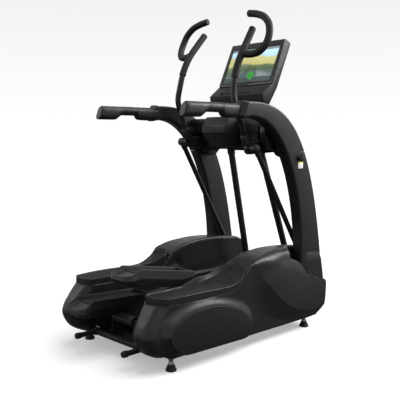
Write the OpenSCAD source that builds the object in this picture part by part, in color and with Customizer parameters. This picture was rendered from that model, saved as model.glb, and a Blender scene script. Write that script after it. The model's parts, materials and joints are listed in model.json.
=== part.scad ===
// Elliptical trainer with two step platforms, swinging multi-grip handles and hanging foot beams.
// +X is the user's right, +Y is forward, +Z is up, and the floor is z = 0. Millimetres.

/* [Head pivot] */
// Distance of the head shaft forward of the centre
head_y = 420; // [415:1:425]
// Height of the head shaft above the floor
head_z = 1037; // [1030:1:1040]
// Radius of the head shaft
head_shaft_r = 25; // [22:1:26]

/* [Swing arms] */
// Length of the hanger tube from the head shaft to the foot beam pin
hanger_len = 731; // [720:1:740]
// Forward lean of the right hanger tube, in degrees from straight down
hanger_lean = 21.35; // [18:0.05:24]
// How far the left arm is swung back from the right one, in degrees
swing_diff = 9; // [6:0.5:12]
// Lateral place of the hanger tube and the foot beam
hanger_x = 112; // [110:1:114]
// Distance from the head shaft to the pushrod pivot
rocker_len = 225; // [220:1:230]
// Radius of the handle tube
handle_r = 15.9; // [14:0.1:17]
// Radius of the foam grip on the handle tube
grip_r = 18.5; // [18:0.5:20]

/* [Pushrods] */
// Lateral place of the pushrod
rod_x = 284; // [283:1:285]
// Radius of the pushrod tube
rod_r = 14; // [12:0.5:14]
// Length of the pushrod between pivots
rod_len = 740; // [735:1:745]
// Lean of the right pushrod, in degrees from straight down
rod_lean_right = 32.8; // [32:0.1:33]
// Lean of the left pushrod, in degrees from straight down
rod_lean_left = 31; // [30.5:0.1:31.5]

/* [Foot beams and pedal trays] */
// How far the left foot beam is lowered against the right one, in degrees
lift_diff = 6.7; // [6:0.1:7]
// Inner side of the pedal tray
tray_x0 = 31; // [29:1:33]
// Outer side of the pedal tray
tray_x1 = 187; // [183:1:190]
// Wall of the pedal tray
tray_wall = 7; // [5:1:9]
// Width of the foot beam
beam_w = 40; // [36:1:44]
// Height of the foot beam
beam_h = 30; // [26:1:30]

/* [Side shells] */
// Inner face of the side shell
shell_x0 = 214; // [212:1:216]
// Outer face of the side shell
shell_x1 = 390; // [388:1:392]
// Wall of the side shell
shell_wall = 4; // [3:0.5:5]
// Underside of the side shell
shell_z0 = 75; // [74:1:78]

/* [Towers and handrails] */
// Middle of the tower
tower_x = 341; // [341:1:342]
// Lateral thickness of the tower
tower_w = 68; // [64:1:68]
// Wall of the tower
tower_wall = 5; // [4:0.5:6]
// Height of the parting line between the tower and its upper cover
tower_split_z = 993; // [980:1:1000]
// Middle of the handrail
rail_x = 328; // [326:1:330]
// Height of the handrail axis
rail_z = 1201; // [1199:1:1203]
// Width of the handrail
rail_w = 45; // [42:1:48]
// Depth of the handrail section
rail_h = 72; // [68:1:74]

/* [Console] */
// Half of the console's width
console_half_w = 202; // [198:1:204]
// Lean of the screen, in degrees from upright
screen_lean = 25; // [25:1:25]
// Width of the lit part of the screen
screen_w = 354; // [340:1:360]
// Height of the lit part of the screen
screen_h = 199; // [190:1:205]

/* [Base] */
// Middle of the frame rail and of the levelling feet
foot_x = 328; // [326:1:330]
// Forward place of the front levelling feet
foot_front_y = 571; // [560:1:580]
// Forward place of the rear levelling feet
foot_rear_y = -435; // [-445:1:-425]
// Radius of a levelling pad
foot_r = 25; // [22:1:28]

/* [Hidden] */
$fn = 48;
gap = 0.5;

// swing arm pivots, worked out in the plane of one side as [y, z]
rocker_lean = 6.7;
head_p = [head_y, head_z];
function pol(r, a) = [r * cos(a), r * sin(a)];
function down(r, lean) = [r * sin(lean), -r * cos(lean)];
t_right = head_p + pol(rocker_len, 180 + rocker_lean);
t_left = head_p + pol(rocker_len, 180 + rocker_lean - swing_diff);
pin_right = head_p + down(hanger_len, hanger_lean);
pin_left = head_p + down(hanger_len, hanger_lean - swing_diff);
rod_end_right = t_right + down(rod_len, rod_lean_right);
rod_end_left = t_left + down(rod_len, rod_lean_left);

// drive lever pivot, square to the line between the two rod ends
lever_len = 110;
rod_ends_mid = (rod_end_right + rod_end_left) / 2;
rod_ends_dir = (rod_end_right - rod_end_left) / norm(rod_end_right - rod_end_left);
lever_p = rod_ends_mid + lever_len * [rod_ends_dir[1], -rod_ends_dir[0]];

// jackshaft and flywheel in the front cover
jack_p = [560, 165];
jack_r = 10;
flywheel_r = 68;
lever_pulley_r = 50;
lever_shaft_r = 10;
jack_pulley_r = 20;
belt_x0 = 224;
belt_x1 = 238;
belt_t = 3;

// head parts
hub_r = 34;
hub_x0 = 92;
hub_x1 = 252;
plate_x0 = 222;
plate_x1 = 246;
fit = 0.05;
pivot_pin_r = 12;
foot_pin_r = 10;
beam_cross_y0 = 290;
beam_cross_y1 = 405;
beam_cross_z0 = 1100;
beam_cross_z1 = 1178;
housing_x0 = 262;
housing_r = 68;
tower_in = tower_x - tower_w / 2;
tower_out = tower_x + tower_w / 2;

// base
rail_half = 25;
frame_z0 = 62;
frame_z1 = 112;
crossbar_p = [-488, 84];
crossbar_r = 17;
stub_x = 191;
stub_r = 13;
stub_rear_y = -611;
roller_p = [-446, 177];
roller_r = 26;
roller_half = 78;

// ---------- helpers ----------

// extrudes a [y, z] outline sideways, from x0 to x1
module across(x0, x1) translate([x0, 0, 0]) rotate([90, 0, 90]) linear_extrude(x1 - x0) children();

// a round bar along X through the point p = [y, z]
module x_bar(r, x0, x1, p) translate([x0, p[0], p[1]]) rotate([0, 90, 0]) cylinder(r = r, h = x1 - x0);

// a box from corner to corner
module box(a, b) translate(a) cube(b - a);

// the left side is the mirror of the right one
module on_side(s) {
    if (s > 0) children();
    else mirror([1, 0, 0]) children();
}

// turns its children about the X line through p = [y, z]
module turn_about(p, a) translate([0, p[0], p[1]]) rotate([a, 0, 0]) translate([0, -p[0], -p[1]]) children();

// points of a cubic Bezier curve
function bez(p0, p1, p2, p3, n) = [for (i = [0:n]) let (t = i / n, u = 1 - t)
    u * u * u * p0 + 3 * u * u * t * p1 + 3 * u * t * t * p2 + t * t * t * p3];
function flip(v) = [for (i = [len(v) - 1:-1:0]) v[i]];

// a smooth curve through the points of v, n steps to a span
function knot(v, i) = v[max(0, min(len(v) - 1, i))];
function spline_at(a, b, c, d, t) = 0.5 * ((2 * b) + (c - a) * t + (2 * a - 5 * b + 4 * c - d) * t * t
    + (3 * b - a - 3 * c + d) * t * t * t);
function spline(v, n) = [
    for (i = [0:len(v) - 2], k = [0:n - 1]) spline_at(knot(v, i - 1), v[i], v[i + 1], knot(v, i + 2), k / n),
    v[len(v) - 1]];

// a closed round tube swept along the curve c; side is a direction that c never runs along
function unit(v) = v / norm(v);
function heading(c, i) = unit(c[min(len(c) - 1, i + 1)] - c[max(0, i - 1)]);
function ring(c, i, r, k, side) = let (d = heading(c, i), a = unit(cross(d, side)), b = cross(d, a))
    [for (j = [0:k - 1]) c[i] + r * (cos(360 * j / k) * a + sin(360 * j / k) * b)];
function quad(a, b, c, d) = [[a, b, c], [a, c, d]];
function wall(n, k, first) = [for (i = [0:n - 2], j = [0:k - 1]) let (m = (j + 1) % k, q = first + i * k)
    each quad(q + j, q + k + j, q + k + m, q + m)];
module sweep(c, r, side, k = 12) {
    n = len(c);
    points = [for (i = [0:n - 1]) each ring(c, i, r, k, side)];
    ends = [[for (j = [0:k - 1]) j], [for (j = [k - 1:-1:0]) (n - 1) * k + j]];
    polyhedron(points, concat(wall(n, k, 0), ends), convexity = 6);
}

// a hollow sleeve along the curve c, between the radii r0 and r1
module sleeve(c, r0, r1, side, k = 12) {
    n = len(c);
    inner = n * k;
    points = [for (r = [r1, r0], i = [0:n - 1]) each ring(c, i, r, k, side)];
    bore = [for (f = wall(n, k, inner)) [f[2], f[1], f[0]]];
    lips = [for (j = [0:k - 1]) let (m = (j + 1) % k, q = (n - 1) * k)
        each concat(quad(j, m, inner + m, inner + j), quad(q + m, q + j, inner + q + j, inner + q + m))];
    polyhedron(points, concat(wall(n, k, 0), bore, lips), convexity = 6);
}

// a rounded rectangle between two corners, made of true arcs
module round_box(a, b, r) {
    translate([a[0] + r, a[1]]) square([b[0] - a[0] - 2 * r, b[1] - a[1]]);
    translate([a[0], a[1] + r]) square([b[0] - a[0], b[1] - a[1] - 2 * r]);
    for (x = [a[0] + r, b[0] - r], y = [a[1] + r, b[1] - r]) translate([x, y]) circle(r);
}

// ---------- base ----------

module base_frame() color("#26282b") difference() {
    union() {
        for (s = [-1, 1]) box(
            [s * foot_x - rail_half, -526, frame_z0], [s * foot_x + rail_half, 640, frame_z1]);
        box([-foot_x + rail_half, 470, frame_z0], [foot_x - rail_half, 520, frame_z1 - 10]);
        box([-foot_x + rail_half, 590, frame_z0], [foot_x - rail_half, 640, frame_z1 - 10]);
        box([-foot_x + rail_half, -310, frame_z0 + 6], [foot_x - rail_half, -260, frame_z1 - 10]);
        for (s = [-1, 1]) lever_post(s);
        for (s = [-1, 1]) jack_post(s);
    }
    for (s = [-1, 1]) box(
        [s * foot_x - rail_half + 4, -522, frame_z0 + 4], [s * foot_x + rail_half - 4, 637, frame_z1 - 4]);
    x_bar(jack_r + fit, -150, 150, jack_p);
    for (s = [-1, 1]) on_side(s) x_bar(lever_shaft_r + fit, 290, 310, lever_p);
    x_bar(crossbar_r + fit, -foot_x, foot_x, crossbar_p);
}

module lever_post(s) on_side(s) across(302, 306)
    polygon([[468, frame_z1 - 2], [548, frame_z1 - 2], [lever_p[0] + 22, lever_p[1] + 22],
        [lever_p[0] - 22, lever_p[1] + 22]]);

module jack_post(s) on_side(s) across(100, 112)
    polygon([[jack_p[0] - 70, frame_z1 - 12], [jack_p[0] + 62, frame_z1 - 12], [jack_p[0] + 20, jack_p[1] + 20],
        [jack_p[0] - 20, jack_p[1] + 20]]);

module rear_crossbar() color("#1d1e20") {
    x_bar(crossbar_r, -300, 300, crossbar_p);
    for (s = [-1, 1]) translate([s * stub_x, crossbar_p[0] - 5, crossbar_p[1] - 2]) rotate([90, 0, 0])
        cylinder(r = stub_r, h = crossbar_p[0] - 5 - stub_rear_y - 4);
}

module stub_caps() color("#111111") for (s = [-1, 1])
    translate([s * stub_x, stub_rear_y, crossbar_p[1] - 2]) rotate([-90, 0, 0]) difference() {
        cylinder(r = stub_r + 2.5, h = 30);
        translate([0, 0, 4]) cylinder(r = stub_r, h = 30);
    }

module floor_plate() color("#2b2d30") difference() {
    box([-302, -466, frame_z0 + 2], [302, -225, frame_z0 + 6]);
    for (x = [-180, 180], y = [-285]) translate([x, y, frame_z0]) cylinder(r = 4.5, h = 10);
}

module roller_bracket() color("#3b3d40") {
    difference() {
        union() {
            for (s = [-1, 1]) on_side(s) across(roller_half + 4, roller_half + 10) polygon([
                [roller_p[0] - 22, frame_z0 + 11], [roller_p[0] + 60, frame_z0 + 11],
                [roller_p[0] + 16, roller_p[1] + 14], [roller_p[0] - 16, roller_p[1] + 14]]);
            box([-roller_half - 12, roller_p[0] - 20, frame_z0 + 6 + gap / 10],
                [roller_half + 12, roller_p[0] + 60, frame_z0 + 12]);
        }
        x_bar(8, -100, 100, roller_p);
    }
    x_bar(8, -roller_half - 16, roller_half + 16, roller_p);
    for (s = [-1, 1]) on_side(s) x_bar(13, roller_half + 10, roller_half + 18, roller_p);
}

module rest_roller() color("#6c6f73") difference() {
    x_bar(roller_r, -roller_half, roller_half, roller_p);
    for (s = [-1, 1]) on_side(s) x_bar(roller_r - 6, roller_half - 10, roller_half + 1, roller_p);
    x_bar(8 + fit, -100, 100, roller_p);
}

module leveling_foot(x, y) translate([x, y, 0]) {
    cylinder(r1 = foot_r, r2 = foot_r - 3, h = 10);
    cylinder(r = 14, h = 18);
    cylinder(r = 6, h = frame_z0);
    translate([0, 0, 40]) cylinder(r = 12, h = 9, $fn = 6);
}
module leveling_feet() color("#1a1a1a")
    for (s = [-1, 1], y = [foot_rear_y, foot_front_y]) leveling_foot(s * foot_x, y);

module front_cover() color("#232427") difference() {
    across(-shell_x0 + 2, shell_x0 - 2) polygon([[455, 76], [455, 150], [490, 232], [530, 252], [600, 252],
        [662, 225], [676, 150], [670, 76]]);
    across(-shell_x0 + 6, shell_x0 - 6) polygon([[459, 60], [459, 150], [493, 229], [532, 248], [599, 248],
        [659, 222], [672, 150], [666, 60]]);
    x_bar(jack_r + 4, -300, 300, jack_p);
    box([-300, 469, 50], [300, 521, frame_z1 - 9]);
    box([-300, 589, 50], [300, 641, frame_z1 - 9]);
    box([140, 660, 100], [180, 700, 128]);
}

module power_inlet() color("#0c0c0c") difference() {
    box([140 + gap / 5, 655, 100 + gap / 5], [180 - gap / 5, 679, 128 - gap / 5]);
    box([146, 664, 105], [174, 680, 123]);
}

// ---------- side shells ----------

seam = [[-517, 319], [-155, 316.5], [-71, 320.5], [-13, 351.5], [30, 392.5], [60, 428.5]];
shell_outline = concat([[-540, shell_z0], [-578, 108], [-602, 160], [-598, 200], [-557, 267]], seam,
    [[124, 452], [218, 469], [300, 475], [401, 473], [527, 463], [618, 449], [655, 415],
     [683, 266], [688, 143], [672, shell_z0]]);
cover_top = [[-512, 322], [-478, 348], [-140, 348], [-80, 354], [-36, 372], [12, 404], [40, 424], [56, 430]];

module shell_plan(d) round_box([shell_x0 + d, -602 + d], [shell_x1 - d, 688 - d], 34 - d);

module side_shell(s) on_side(s) color("#2e3034") difference() {
    intersection() {
        across(shell_x0, shell_x1) polygon(shell_outline);
        linear_extrude(500) shell_plan(0);
    }
    intersection() {
        across(shell_x0 + shell_wall, shell_x1 - shell_wall) offset(delta = -shell_wall) polygon(shell_outline);
        linear_extrude(500) shell_plan(shell_wall);
    }
    box([shell_x0 + shell_wall, -530, 60], [shell_x1 - shell_wall, 664, shell_z0 + 10]);
    // slot for the pushrod
    box([rod_x - rod_r - 3, 462, 420], [rod_x + rod_r + 2, 628, 500]);
    // opening for the tower
    box([tower_in - 1, 476, 340], [tower_out + 1, 662, 500]);
    // jackshaft, crossbar and frame members
    x_bar(jack_r + 4, 200, shell_x0 + 20, jack_p);
    x_bar(crossbar_r + 1, 200, shell_x0 + 20, crossbar_p);
    box([200, -486, 60], [240, -220, 90]);
    box([200, -312, 60], [240, -258, frame_z1 - 8]);
    box([200, 468, 60], [240, 522, frame_z1 - 8]);
    box([200, 588, 60], [240, 642, frame_z1 - 8]);
}

panel_top = bez([-500, 120], [-480, 335], [-160, 335], [62, 92], 16);
module side_panel(s) on_side(s) color("#34363a") across(shell_x1 + 0.05, shell_x1 + 5)
    polygon(concat([[-470, 86]], panel_top, [[30, 86]]));

module cover_outline() polygon(concat([for (p = seam) p + [0, gap]], flip(cover_top)));
module step_cover(s) on_side(s) color("#3a3c40") difference() {
    intersection() {
        across(shell_x0 + 10, shell_x1 - 18) cover_outline();
        linear_extrude(500) round_box([shell_x0 + 10, -512], [shell_x1 - 18, 80], 24);
    }
    box([shell_x0 + 30, -462, 341], [shell_x1 - 38, -150, 360]);
}

module step_mat(s) on_side(s) color("#151515") translate([0, 0, 341]) {
    linear_extrude(3) round_box([shell_x0 + 31, -461], [shell_x1 - 39, -151], 8);
    for (i = [0:8]) translate([shell_x0 + 40, -448 + 34 * i, 2.9]) cube([88, 14, 2.1]);
}

// ---------- towers, handrails ----------

arch_outer = bez([656, 430], [560, 1038], [399, 1268], [45, 1248], 18);
arch_inner = bez([479, 457], [462, 877], [271, 1225], [10, 1162], 18);
module arch_outline() polygon(concat([[500, frame_z1], [650, frame_z1], [660, 330]], arch_outer,
    flip(arch_inner), [[481, 330]]));

module arch(s, z0, z1) on_side(s) difference() {
    intersection() {
        across(tower_in, tower_out) arch_outline();
        box([0, -100, z0], [500, 900, z1]);
    }
    intersection() {
        across(tower_in + tower_wall, tower_out - tower_wall) offset(delta = -tower_wall) arch_outline();
        box([0, -100, z0 - 10], [500, 900, z1]);
    }
}

module tower(s) color("#303236") arch(s, frame_z1, tower_split_z - gap);
module tower_cap(s) color("#37393d") {
    difference() {
        arch(s, tower_split_z, 1400);
        on_side(s) across(rail_x - 25, rail_x + 25) translate([rail_y1, rail_z]) circle(14);
    }
    on_side(s) intersection() {
        across(tower_in, tower_out) arch_outline();
        box([0, 8, 1150], [500, 60, 1260]);
    }
}

module tower_boots() color("#2a2c2f") for (s = [-1, 1]) on_side(s) difference() {
    intersection() {
        across(tower_in - 4.5, tower_out + 7)
            polygon([[468, 400], [466, 486], [664, 452], [676, 340], [600, 340]]);
        linear_extrude(600) round_box([tower_in - 4.5, 464], [tower_out + 7, 678], 9);
    }
    across(shell_x0, shell_x1 + 1) offset(delta = gap) polygon(shell_outline);
    across(tower_in - gap / 2, tower_out + gap / 2) offset(delta = gap / 2) arch_outline();
}

module cap_knob(s) on_side(s) color("#17181a") translate([tower_out + 0.1, 448, 962]) rotate([0, 90, 0]) {
    cylinder(r = 11, h = 5);
    translate([0, 0, 5]) cylinder(r = 17, h = 12, $fn = 10);
    translate([-3, -20, 8]) cube([6, 40, 9]);
}

rail_y0 = -352;
rail_y1 = 14;
grip_y0 = -234;
grip_y1 = -116;
module stadium(w, h) {
    square([w, h - w], center = true);
    for (s = [-1, 1]) translate([0, s * (h - w) / 2]) circle(w / 2);
}
module along_y(y0, y1, x, z) translate([x, y1, z]) rotate([90, 0, 0]) linear_extrude(y1 - y0) children();

module handrail(s) on_side(s) color("#2f3134") difference() {
    union() {
        along_y(rail_y0 + 10, grip_y0, rail_x, rail_z) stadium(rail_w, rail_h);
        along_y(grip_y1, 42, rail_x, rail_z) stadium(rail_w, rail_h);
        along_y(grip_y0 - 1, grip_y1 + 1, rail_x, rail_z + 12) stadium(28, 38);
    }
    // slanted ends, at the rear cap and at the tower cover
    across(200, 400) polygon([[rail_y0 - 20, 1150], [rail_y0 + 8, 1150], [rail_y0 + 45, 1250],
        [rail_y0 - 20, 1250]]);
    across(200, 400) polygon([[5, 1150], [45, 1260], [90, 1260], [90, 1150]]);
}

module rail_grips() color("#121212") for (s = [-1, 1]) on_side(s) difference() {
    along_y(grip_y0 + gap / 5, grip_y1 - gap / 5, rail_x, rail_z + 12) stadium(40, 48);
    along_y(grip_y0 - 5, grip_y1 + 5, rail_x, rail_z + 12) stadium(28.2, 38.2);
}

module rail_end_caps() color("#3a3c3f") for (s = [-1, 1]) on_side(s) intersection() {
    along_y(rail_y0 - 20, grip_y0 - 30, rail_x, rail_z) stadium(rail_w, rail_h);
    across(200, 400) polygon([[rail_y0 - 10, 1150], [rail_y0 + 7.7, 1150], [rail_y0 + 44.7, 1250],
        [rail_y0 + 27, 1250]]);
}

// ---------- head ----------

module crossbeam() color("#232527") difference() {
    union() {
        box([-tower_in + gap / 10, beam_cross_y0, beam_cross_z0],
            [tower_in - gap / 10, 345, beam_cross_z1 - 40]);
        box([-tower_in + 12, beam_cross_y0, beam_cross_z0], [tower_in - 12, beam_cross_y1, beam_cross_z1]);
        across(-84, 84) polygon([[385, beam_cross_z0 + 2], [head_y - 42, head_z - 10],
            [head_y - 24, head_z - 38], [head_y + 24, head_z - 38], [head_y + 42, head_z - 10],
            [head_y + 42, beam_cross_z0 + 40],
            [beam_cross_y1 - 2, beam_cross_z0 + 60]]);
    }
    x_bar(head_shaft_r, -100, 100, head_p);
    box([-tower_in + 20, beam_cross_y0 + 6, beam_cross_z0 + 6], [-90, beam_cross_y1 - 6, beam_cross_z1 - 6]);
    box([90, beam_cross_y0 + 6, beam_cross_z0 + 6], [tower_in - 20, beam_cross_y1 - 6, beam_cross_z1 - 6]);
}

module shaft_housings() color("#1b1c1e") for (s = [-1, 1]) on_side(s) difference() {
    union() {
        x_bar(housing_r, housing_x0, housing_x0 + 14, head_p);
        x_bar(46, housing_x0 + 14, tower_in - 0.1, head_p);
        across(housing_x0, tower_in - 0.1) polygon([[head_y - 66, head_z + 5], [head_y + 40, head_z + 20],
            [head_y + 10, beam_cross_z0 + 30], [head_y - 14, beam_cross_z0 + 30],
            [head_y - 14, beam_cross_z0 - 1], [head_y - 66, beam_cross_z0 - 1]]);
    }
    x_bar(head_shaft_r, housing_x0 - 5, housing_x0 + 34, head_p);
    box([housing_x0 - 1, 380, beam_cross_z0 - gap], [tower_in, beam_cross_y1 + gap, beam_cross_z0 + 12]);
    // two slots beside the bearing
    for (a = [118, 160]) turn_about(head_p, a)
        translate([housing_x0 - 1, head_y + 36, head_z - 5]) cube([9, 24, 10]);
}

module head_shaft() color("#8d9196") x_bar(head_shaft_r, -housing_x0 - 32, housing_x0 + 32, head_p);

head_cover_outline = [[172, 1092], [172, 1136], [203, 1183], [beam_cross_y0 - gap, 1183],
    [beam_cross_y0 - gap, 1014], [236, 1018]];
module head_cover() color("#383a3e") difference() {
    across(-88, 88) polygon(head_cover_outline);
    across(-84, 84) offset(delta = -4) polygon(head_cover_outline);
    // vents low on both flanks
    for (s = [-1, 1]) on_side(s) translate([80, 250, 1100]) rotate([14, 0, 0]) cube([10, 9, 46]);
}

// ---------- console ----------

bezel_low = [406, 1346];
face_dir = [sin(screen_lean), cos(screen_lean)];
face_out = [-cos(screen_lean), sin(screen_lean)];
console_len = 300;
console_deep = 52;
bezel_t = 6;
function on_face(u, w) = bezel_low + u * face_dir - w * face_out;

console_outline = [[340, 1307], [347, 1262], [399, 1252], on_face(20, console_deep),
    on_face(console_len, console_deep), on_face(console_len, bezel_t + gap / 5), on_face(0, bezel_t + gap / 5)];

module console_shell() color("#2c2e31") difference() {
    across(-console_half_w, console_half_w) polygon(console_outline);
    difference() {
        across(-console_half_w + 4, console_half_w - 4) offset(delta = -4) polygon(console_outline);
        // walls of the accessory slot
        box([-136, 348, 1240], [102, 382, 1360]);
    }
    across(-screen_w / 2 - 6, screen_w / 2 + 6) polygon([on_face(40, 20), on_face(264, 20), on_face(264, -1),
        on_face(40, -1)]);
    // accessory slot across the wedge
    box([-132, 352, 1284], [98, 378, 1345]);
}

module console_bezel() color("#1c1d1f") difference() {
    across(-console_half_w, console_half_w) polygon([on_face(0, bezel_t), on_face(console_len, bezel_t),
        on_face(console_len, 0), on_face(0, 0)]);
    across(-screen_w / 2 - 3, screen_w / 2 + 3) polygon([on_face(44, bezel_t + 1), on_face(260, bezel_t + 1),
        on_face(260, -1), on_face(44, -1)]);
}

module screen_panel() color("#7fb0c9") across(-screen_w / 2 - 2.5, screen_w / 2 + 2.5)
    polygon([on_face(44.5, bezel_t + 8), on_face(259.5, bezel_t + 8), on_face(259.5, 1.5), on_face(44.5, 1.5)]);

module console_mast() color("#26282a") difference() {
    across(-46, 46) polygon([[330, beam_cross_z1 + 0.05], [402, beam_cross_z1 + 0.05], [470, 1368], [428, 1318],
        [396, 1251.5], [352, 1252]]);
    across(-41, 41) polygon([[338, beam_cross_z1 - 1], [394, beam_cross_z1 - 1], [446, 1320], [430, 1302],
        [400, 1246], [358, 1246]]);
    across(-50, 50) offset(delta = 0.2) polygon(console_outline);
}

// ---------- swing arms ----------

module arm_frame(s) {
    if (s > 0) children();
    else mirror([1, 0, 0]) turn_about(head_p, -swing_diff) children();
}

module swing_arm(s) arm_frame(s) color("#3c3e42") difference() {
    union() {
        x_bar(hub_r, hub_x0, hub_x1, head_p);
        translate([hanger_x, head_y, head_z]) rotate([hanger_lean, 0, 0]) translate([0, 0, -hanger_len])
            cylinder(r = 19, h = hanger_len);
        x_bar(22, hanger_x - 20, hanger_x + 20, pin_right);
        across(plate_x0, plate_x1) hull() {
            translate(head_p) circle(46, $fn = 32);
            translate(t_right) circle(30, $fn = 32);
        }
        x_bar(pivot_pin_r, plate_x1 - 1, rod_x + 8, t_right);
    }
    x_bar(head_shaft_r + fit, hub_x0 - 1, hub_x1 + 1, head_p);
    x_bar(foot_pin_r + fit, hanger_x - 30, hanger_x + 30, pin_right);
    handle_socket(fit, plate_x0 - 1, plate_x1 + 1);
}

// the socket that clamps the handle tube in the rocker plate
module handle_socket(d, x0, x1) hull() {
    x_bar(17 + d, x0, x1, [186, 1036], $fn = 24);
    x_bar(18 + d, x0, x1, [172, 1063], $fn = 24);
}

handle_path = [[234, 186, 1036], [236, 140, 1130], [237, 87, 1236], [229, 84, 1300], [228, 91, 1367],
    [229, 109, 1434], [231, 139, 1497], [230, 183, 1567], [228, 229, 1638]];
loop_path = [[231, 139, 1497], [275, 148, 1492], [330, 158, 1500], [359, 176, 1535], [367, 195, 1590],
    [352, 206, 1645], [318, 211, 1680], [270, 216, 1700], [206, 221, 1713]];
handle_curve = spline(handle_path, 3);
loop_curve = spline(loop_path, 3);
side_x = [1, 0, 0];
side_y = [0, 1, 0];
function part(c, i0, i1) = [for (i = [i0:i1]) c[i]];

module handle_tube(s) arm_frame(s) color("#3a3c40") {
    sweep(handle_curve, handle_r, side_x);
    sweep(loop_curve, handle_r - 0.4, side_y);
    handle_socket(0, plate_x0 + gap, plate_x1 - gap);
}

// the straight grip, in two sleeves that leave the loop's weld free
module handle_grip(s) arm_frame(s) color("#141414") {
    sleeve(part(handle_curve, 12, 17), handle_r + 0.3, grip_r, side_x);
    sleeve(part(handle_curve, 19, 24), handle_r + 0.3, grip_r, side_x);
}

module loop_grip(s) arm_frame(s) color("#141414") sleeve(part(loop_curve, 2, 24), handle_r, grip_r, side_y);

module pushrod(s, t, lean) on_side(s) color("#404347") difference() {
    union() {
        x_bar(22, plate_x1 + 6, rod_x + 17, t);
        translate([rod_x, t[0], t[1]]) rotate([lean, 0, 0]) translate([0, 0, -rod_len])
            cylinder(r = rod_r, h = rod_len);
        x_bar(16, rod_x - 13, rod_x + 13, t + down(rod_len, lean));
    }
    x_bar(pivot_pin_r + fit, plate_x1, rod_x + 9, t);
    x_bar(8, rod_x - 20, rod_x + 20, t + down(rod_len, lean));
}

module drive_lever(s, tip) on_side(s) color("#55585c") {
    x_bar(lever_pulley_r, belt_x0, belt_x1, lever_p);
    x_bar(24, belt_x1 - 1, 268, lever_p);
    across(244, 260) hull() {
        translate(lever_p) circle(24, $fn = 32);
        translate(tip) circle(15, $fn = 32);
    }
    x_bar(8, 259, rod_x - rod_r - 1, tip);
    x_bar(lever_shaft_r, 222, 306, lever_p);
}

module belt_loop(d) hull() {
    translate(lever_p) circle(lever_pulley_r + d, $fn = 40);
    translate(jack_p) circle(jack_pulley_r + d, $fn = 32);
}
module drive_belts() color("#0b0b0b") for (s = [-1, 1]) on_side(s)
    across(belt_x0 + 2, belt_x1 - 2) difference() {
        belt_loop(0.4 + belt_t);
        belt_loop(0.4);
    }

module flywheel() color("#4a4d50") {
    x_bar(jack_r, -belt_x1 - 2, belt_x1 + 2, jack_p);
    x_bar(flywheel_r, -24, 24, jack_p);
    for (s = [-1, 1]) on_side(s) x_bar(jack_pulley_r, belt_x0, belt_x1, jack_p);
}

// ---------- foot beams and pedal trays ----------

module foot_frame(s) {
    if (s > 0) translate([0, pin_right[0], pin_right[1]]) children();
    else translate([0, pin_left[0], pin_left[1]]) rotate([lift_diff, 0, 0]) mirror([1, 0, 0]) children();
}

yoke_in = 22;
yoke_t = 9;
module beam_yoke(s) foot_frame(s) color("#6e7276") {
    difference() {
        for (k = [-1, 1]) across(hanger_x + k * (yoke_in + yoke_t / 2) - yoke_t / 2,
            hanger_x + k * (yoke_in + yoke_t / 2) + yoke_t / 2) circle(21);
        x_bar(foot_pin_r - 0.5, 0, 200, [0, 0]);
    }
    x_bar(foot_pin_r, hanger_x - 47, hanger_x + 47, [0, 0]);
}

fork_in = 33;
fork_t = 8;
beam_knee = [-820, 5];
beam_tail = [-1080, 22];
function beam_line(d) = [[-70, 1 + d], beam_knee + [0, d], beam_tail + [0, d]];
module foot_beam(s) foot_frame(s) color("#33363a") difference() {
    union() {
        for (k = [-1, 1]) across(hanger_x + k * (fork_in + fork_t / 2) - fork_t / 2,
            hanger_x + k * (fork_in + fork_t / 2) + fork_t / 2) {
            circle(20);
            polygon([[0, -20], [-90, -14], [-90, 16], [0, 20]]);
        }
        box([hanger_x - fork_in - fork_t, -92, -13], [hanger_x + fork_in + fork_t, -60, 15]);
        across(hanger_x - beam_w / 2, hanger_x + beam_w / 2)
            polygon(concat(beam_line(-beam_h / 2), flip(beam_line(beam_h / 2))));
    }
    x_bar(foot_pin_r + fit, 0, 200, [0, 0]);
}

tray_outline = [[-1261, 50], [-1266, 75], [-1214, 85], [-1178, 102], [-828, 45], [-820, 36], [-828, 10],
    [-860, -10], [-900, -22], [-960, -18]];
tray_floor = 21;
module pedal_tray(s) foot_frame(s) color("#3a3d41") difference() {
    intersection() {
        across(tray_x0, tray_x1) polygon(tray_outline);
        translate([0, 0, -100]) linear_extrude(300) round_box([tray_x0, -1266], [tray_x1, -820], 26);
    }
    // foot space
    intersection() {
        across(tray_x0 + tray_wall, tray_x1 - tray_wall) polygon([[-1254, 84 - tray_floor],
            [-1214, 90 - tray_floor], [-1178, 102 - tray_floor], [-836, 46 - tray_floor],
            [-836, 200], [-1254, 200]]);
        translate([0, 0, -100]) linear_extrude(400)
            round_box([tray_x0 + tray_wall, -1254], [tray_x1 - tray_wall, -836], 20);
    }
    // groove for the foot beam
    across(hanger_x - beam_w / 2 - gap, hanger_x + beam_w / 2 + gap) polygon(concat(
        [[-70, -100]], beam_line(beam_h / 2 + gap), [beam_tail + [-1, beam_h / 2 + gap], beam_tail + [-1, -100]]));
    // relief above the rest roller and its bracket
    box([tray_x0 - 1, -1120, -100], [hanger_x - 10, -870, 8]);
}

module pedal_mat(s) foot_frame(s) color("#101010") intersection() {
    across(tray_x0 + tray_wall + 2, tray_x1 - tray_wall - 2) polygon([[-1170, 101 - tray_floor],
        [-842, 47.4 - tray_floor], [-842, 51 - tray_floor], [-1170, 104.6 - tray_floor]]);
    translate([0, 0, -100]) linear_extrude(400) round_box([tray_x0 + tray_wall + 2, -1170],
        [tray_x1 - tray_wall - 2, -840], 18);
}

// ---------- drawing ----------

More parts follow.
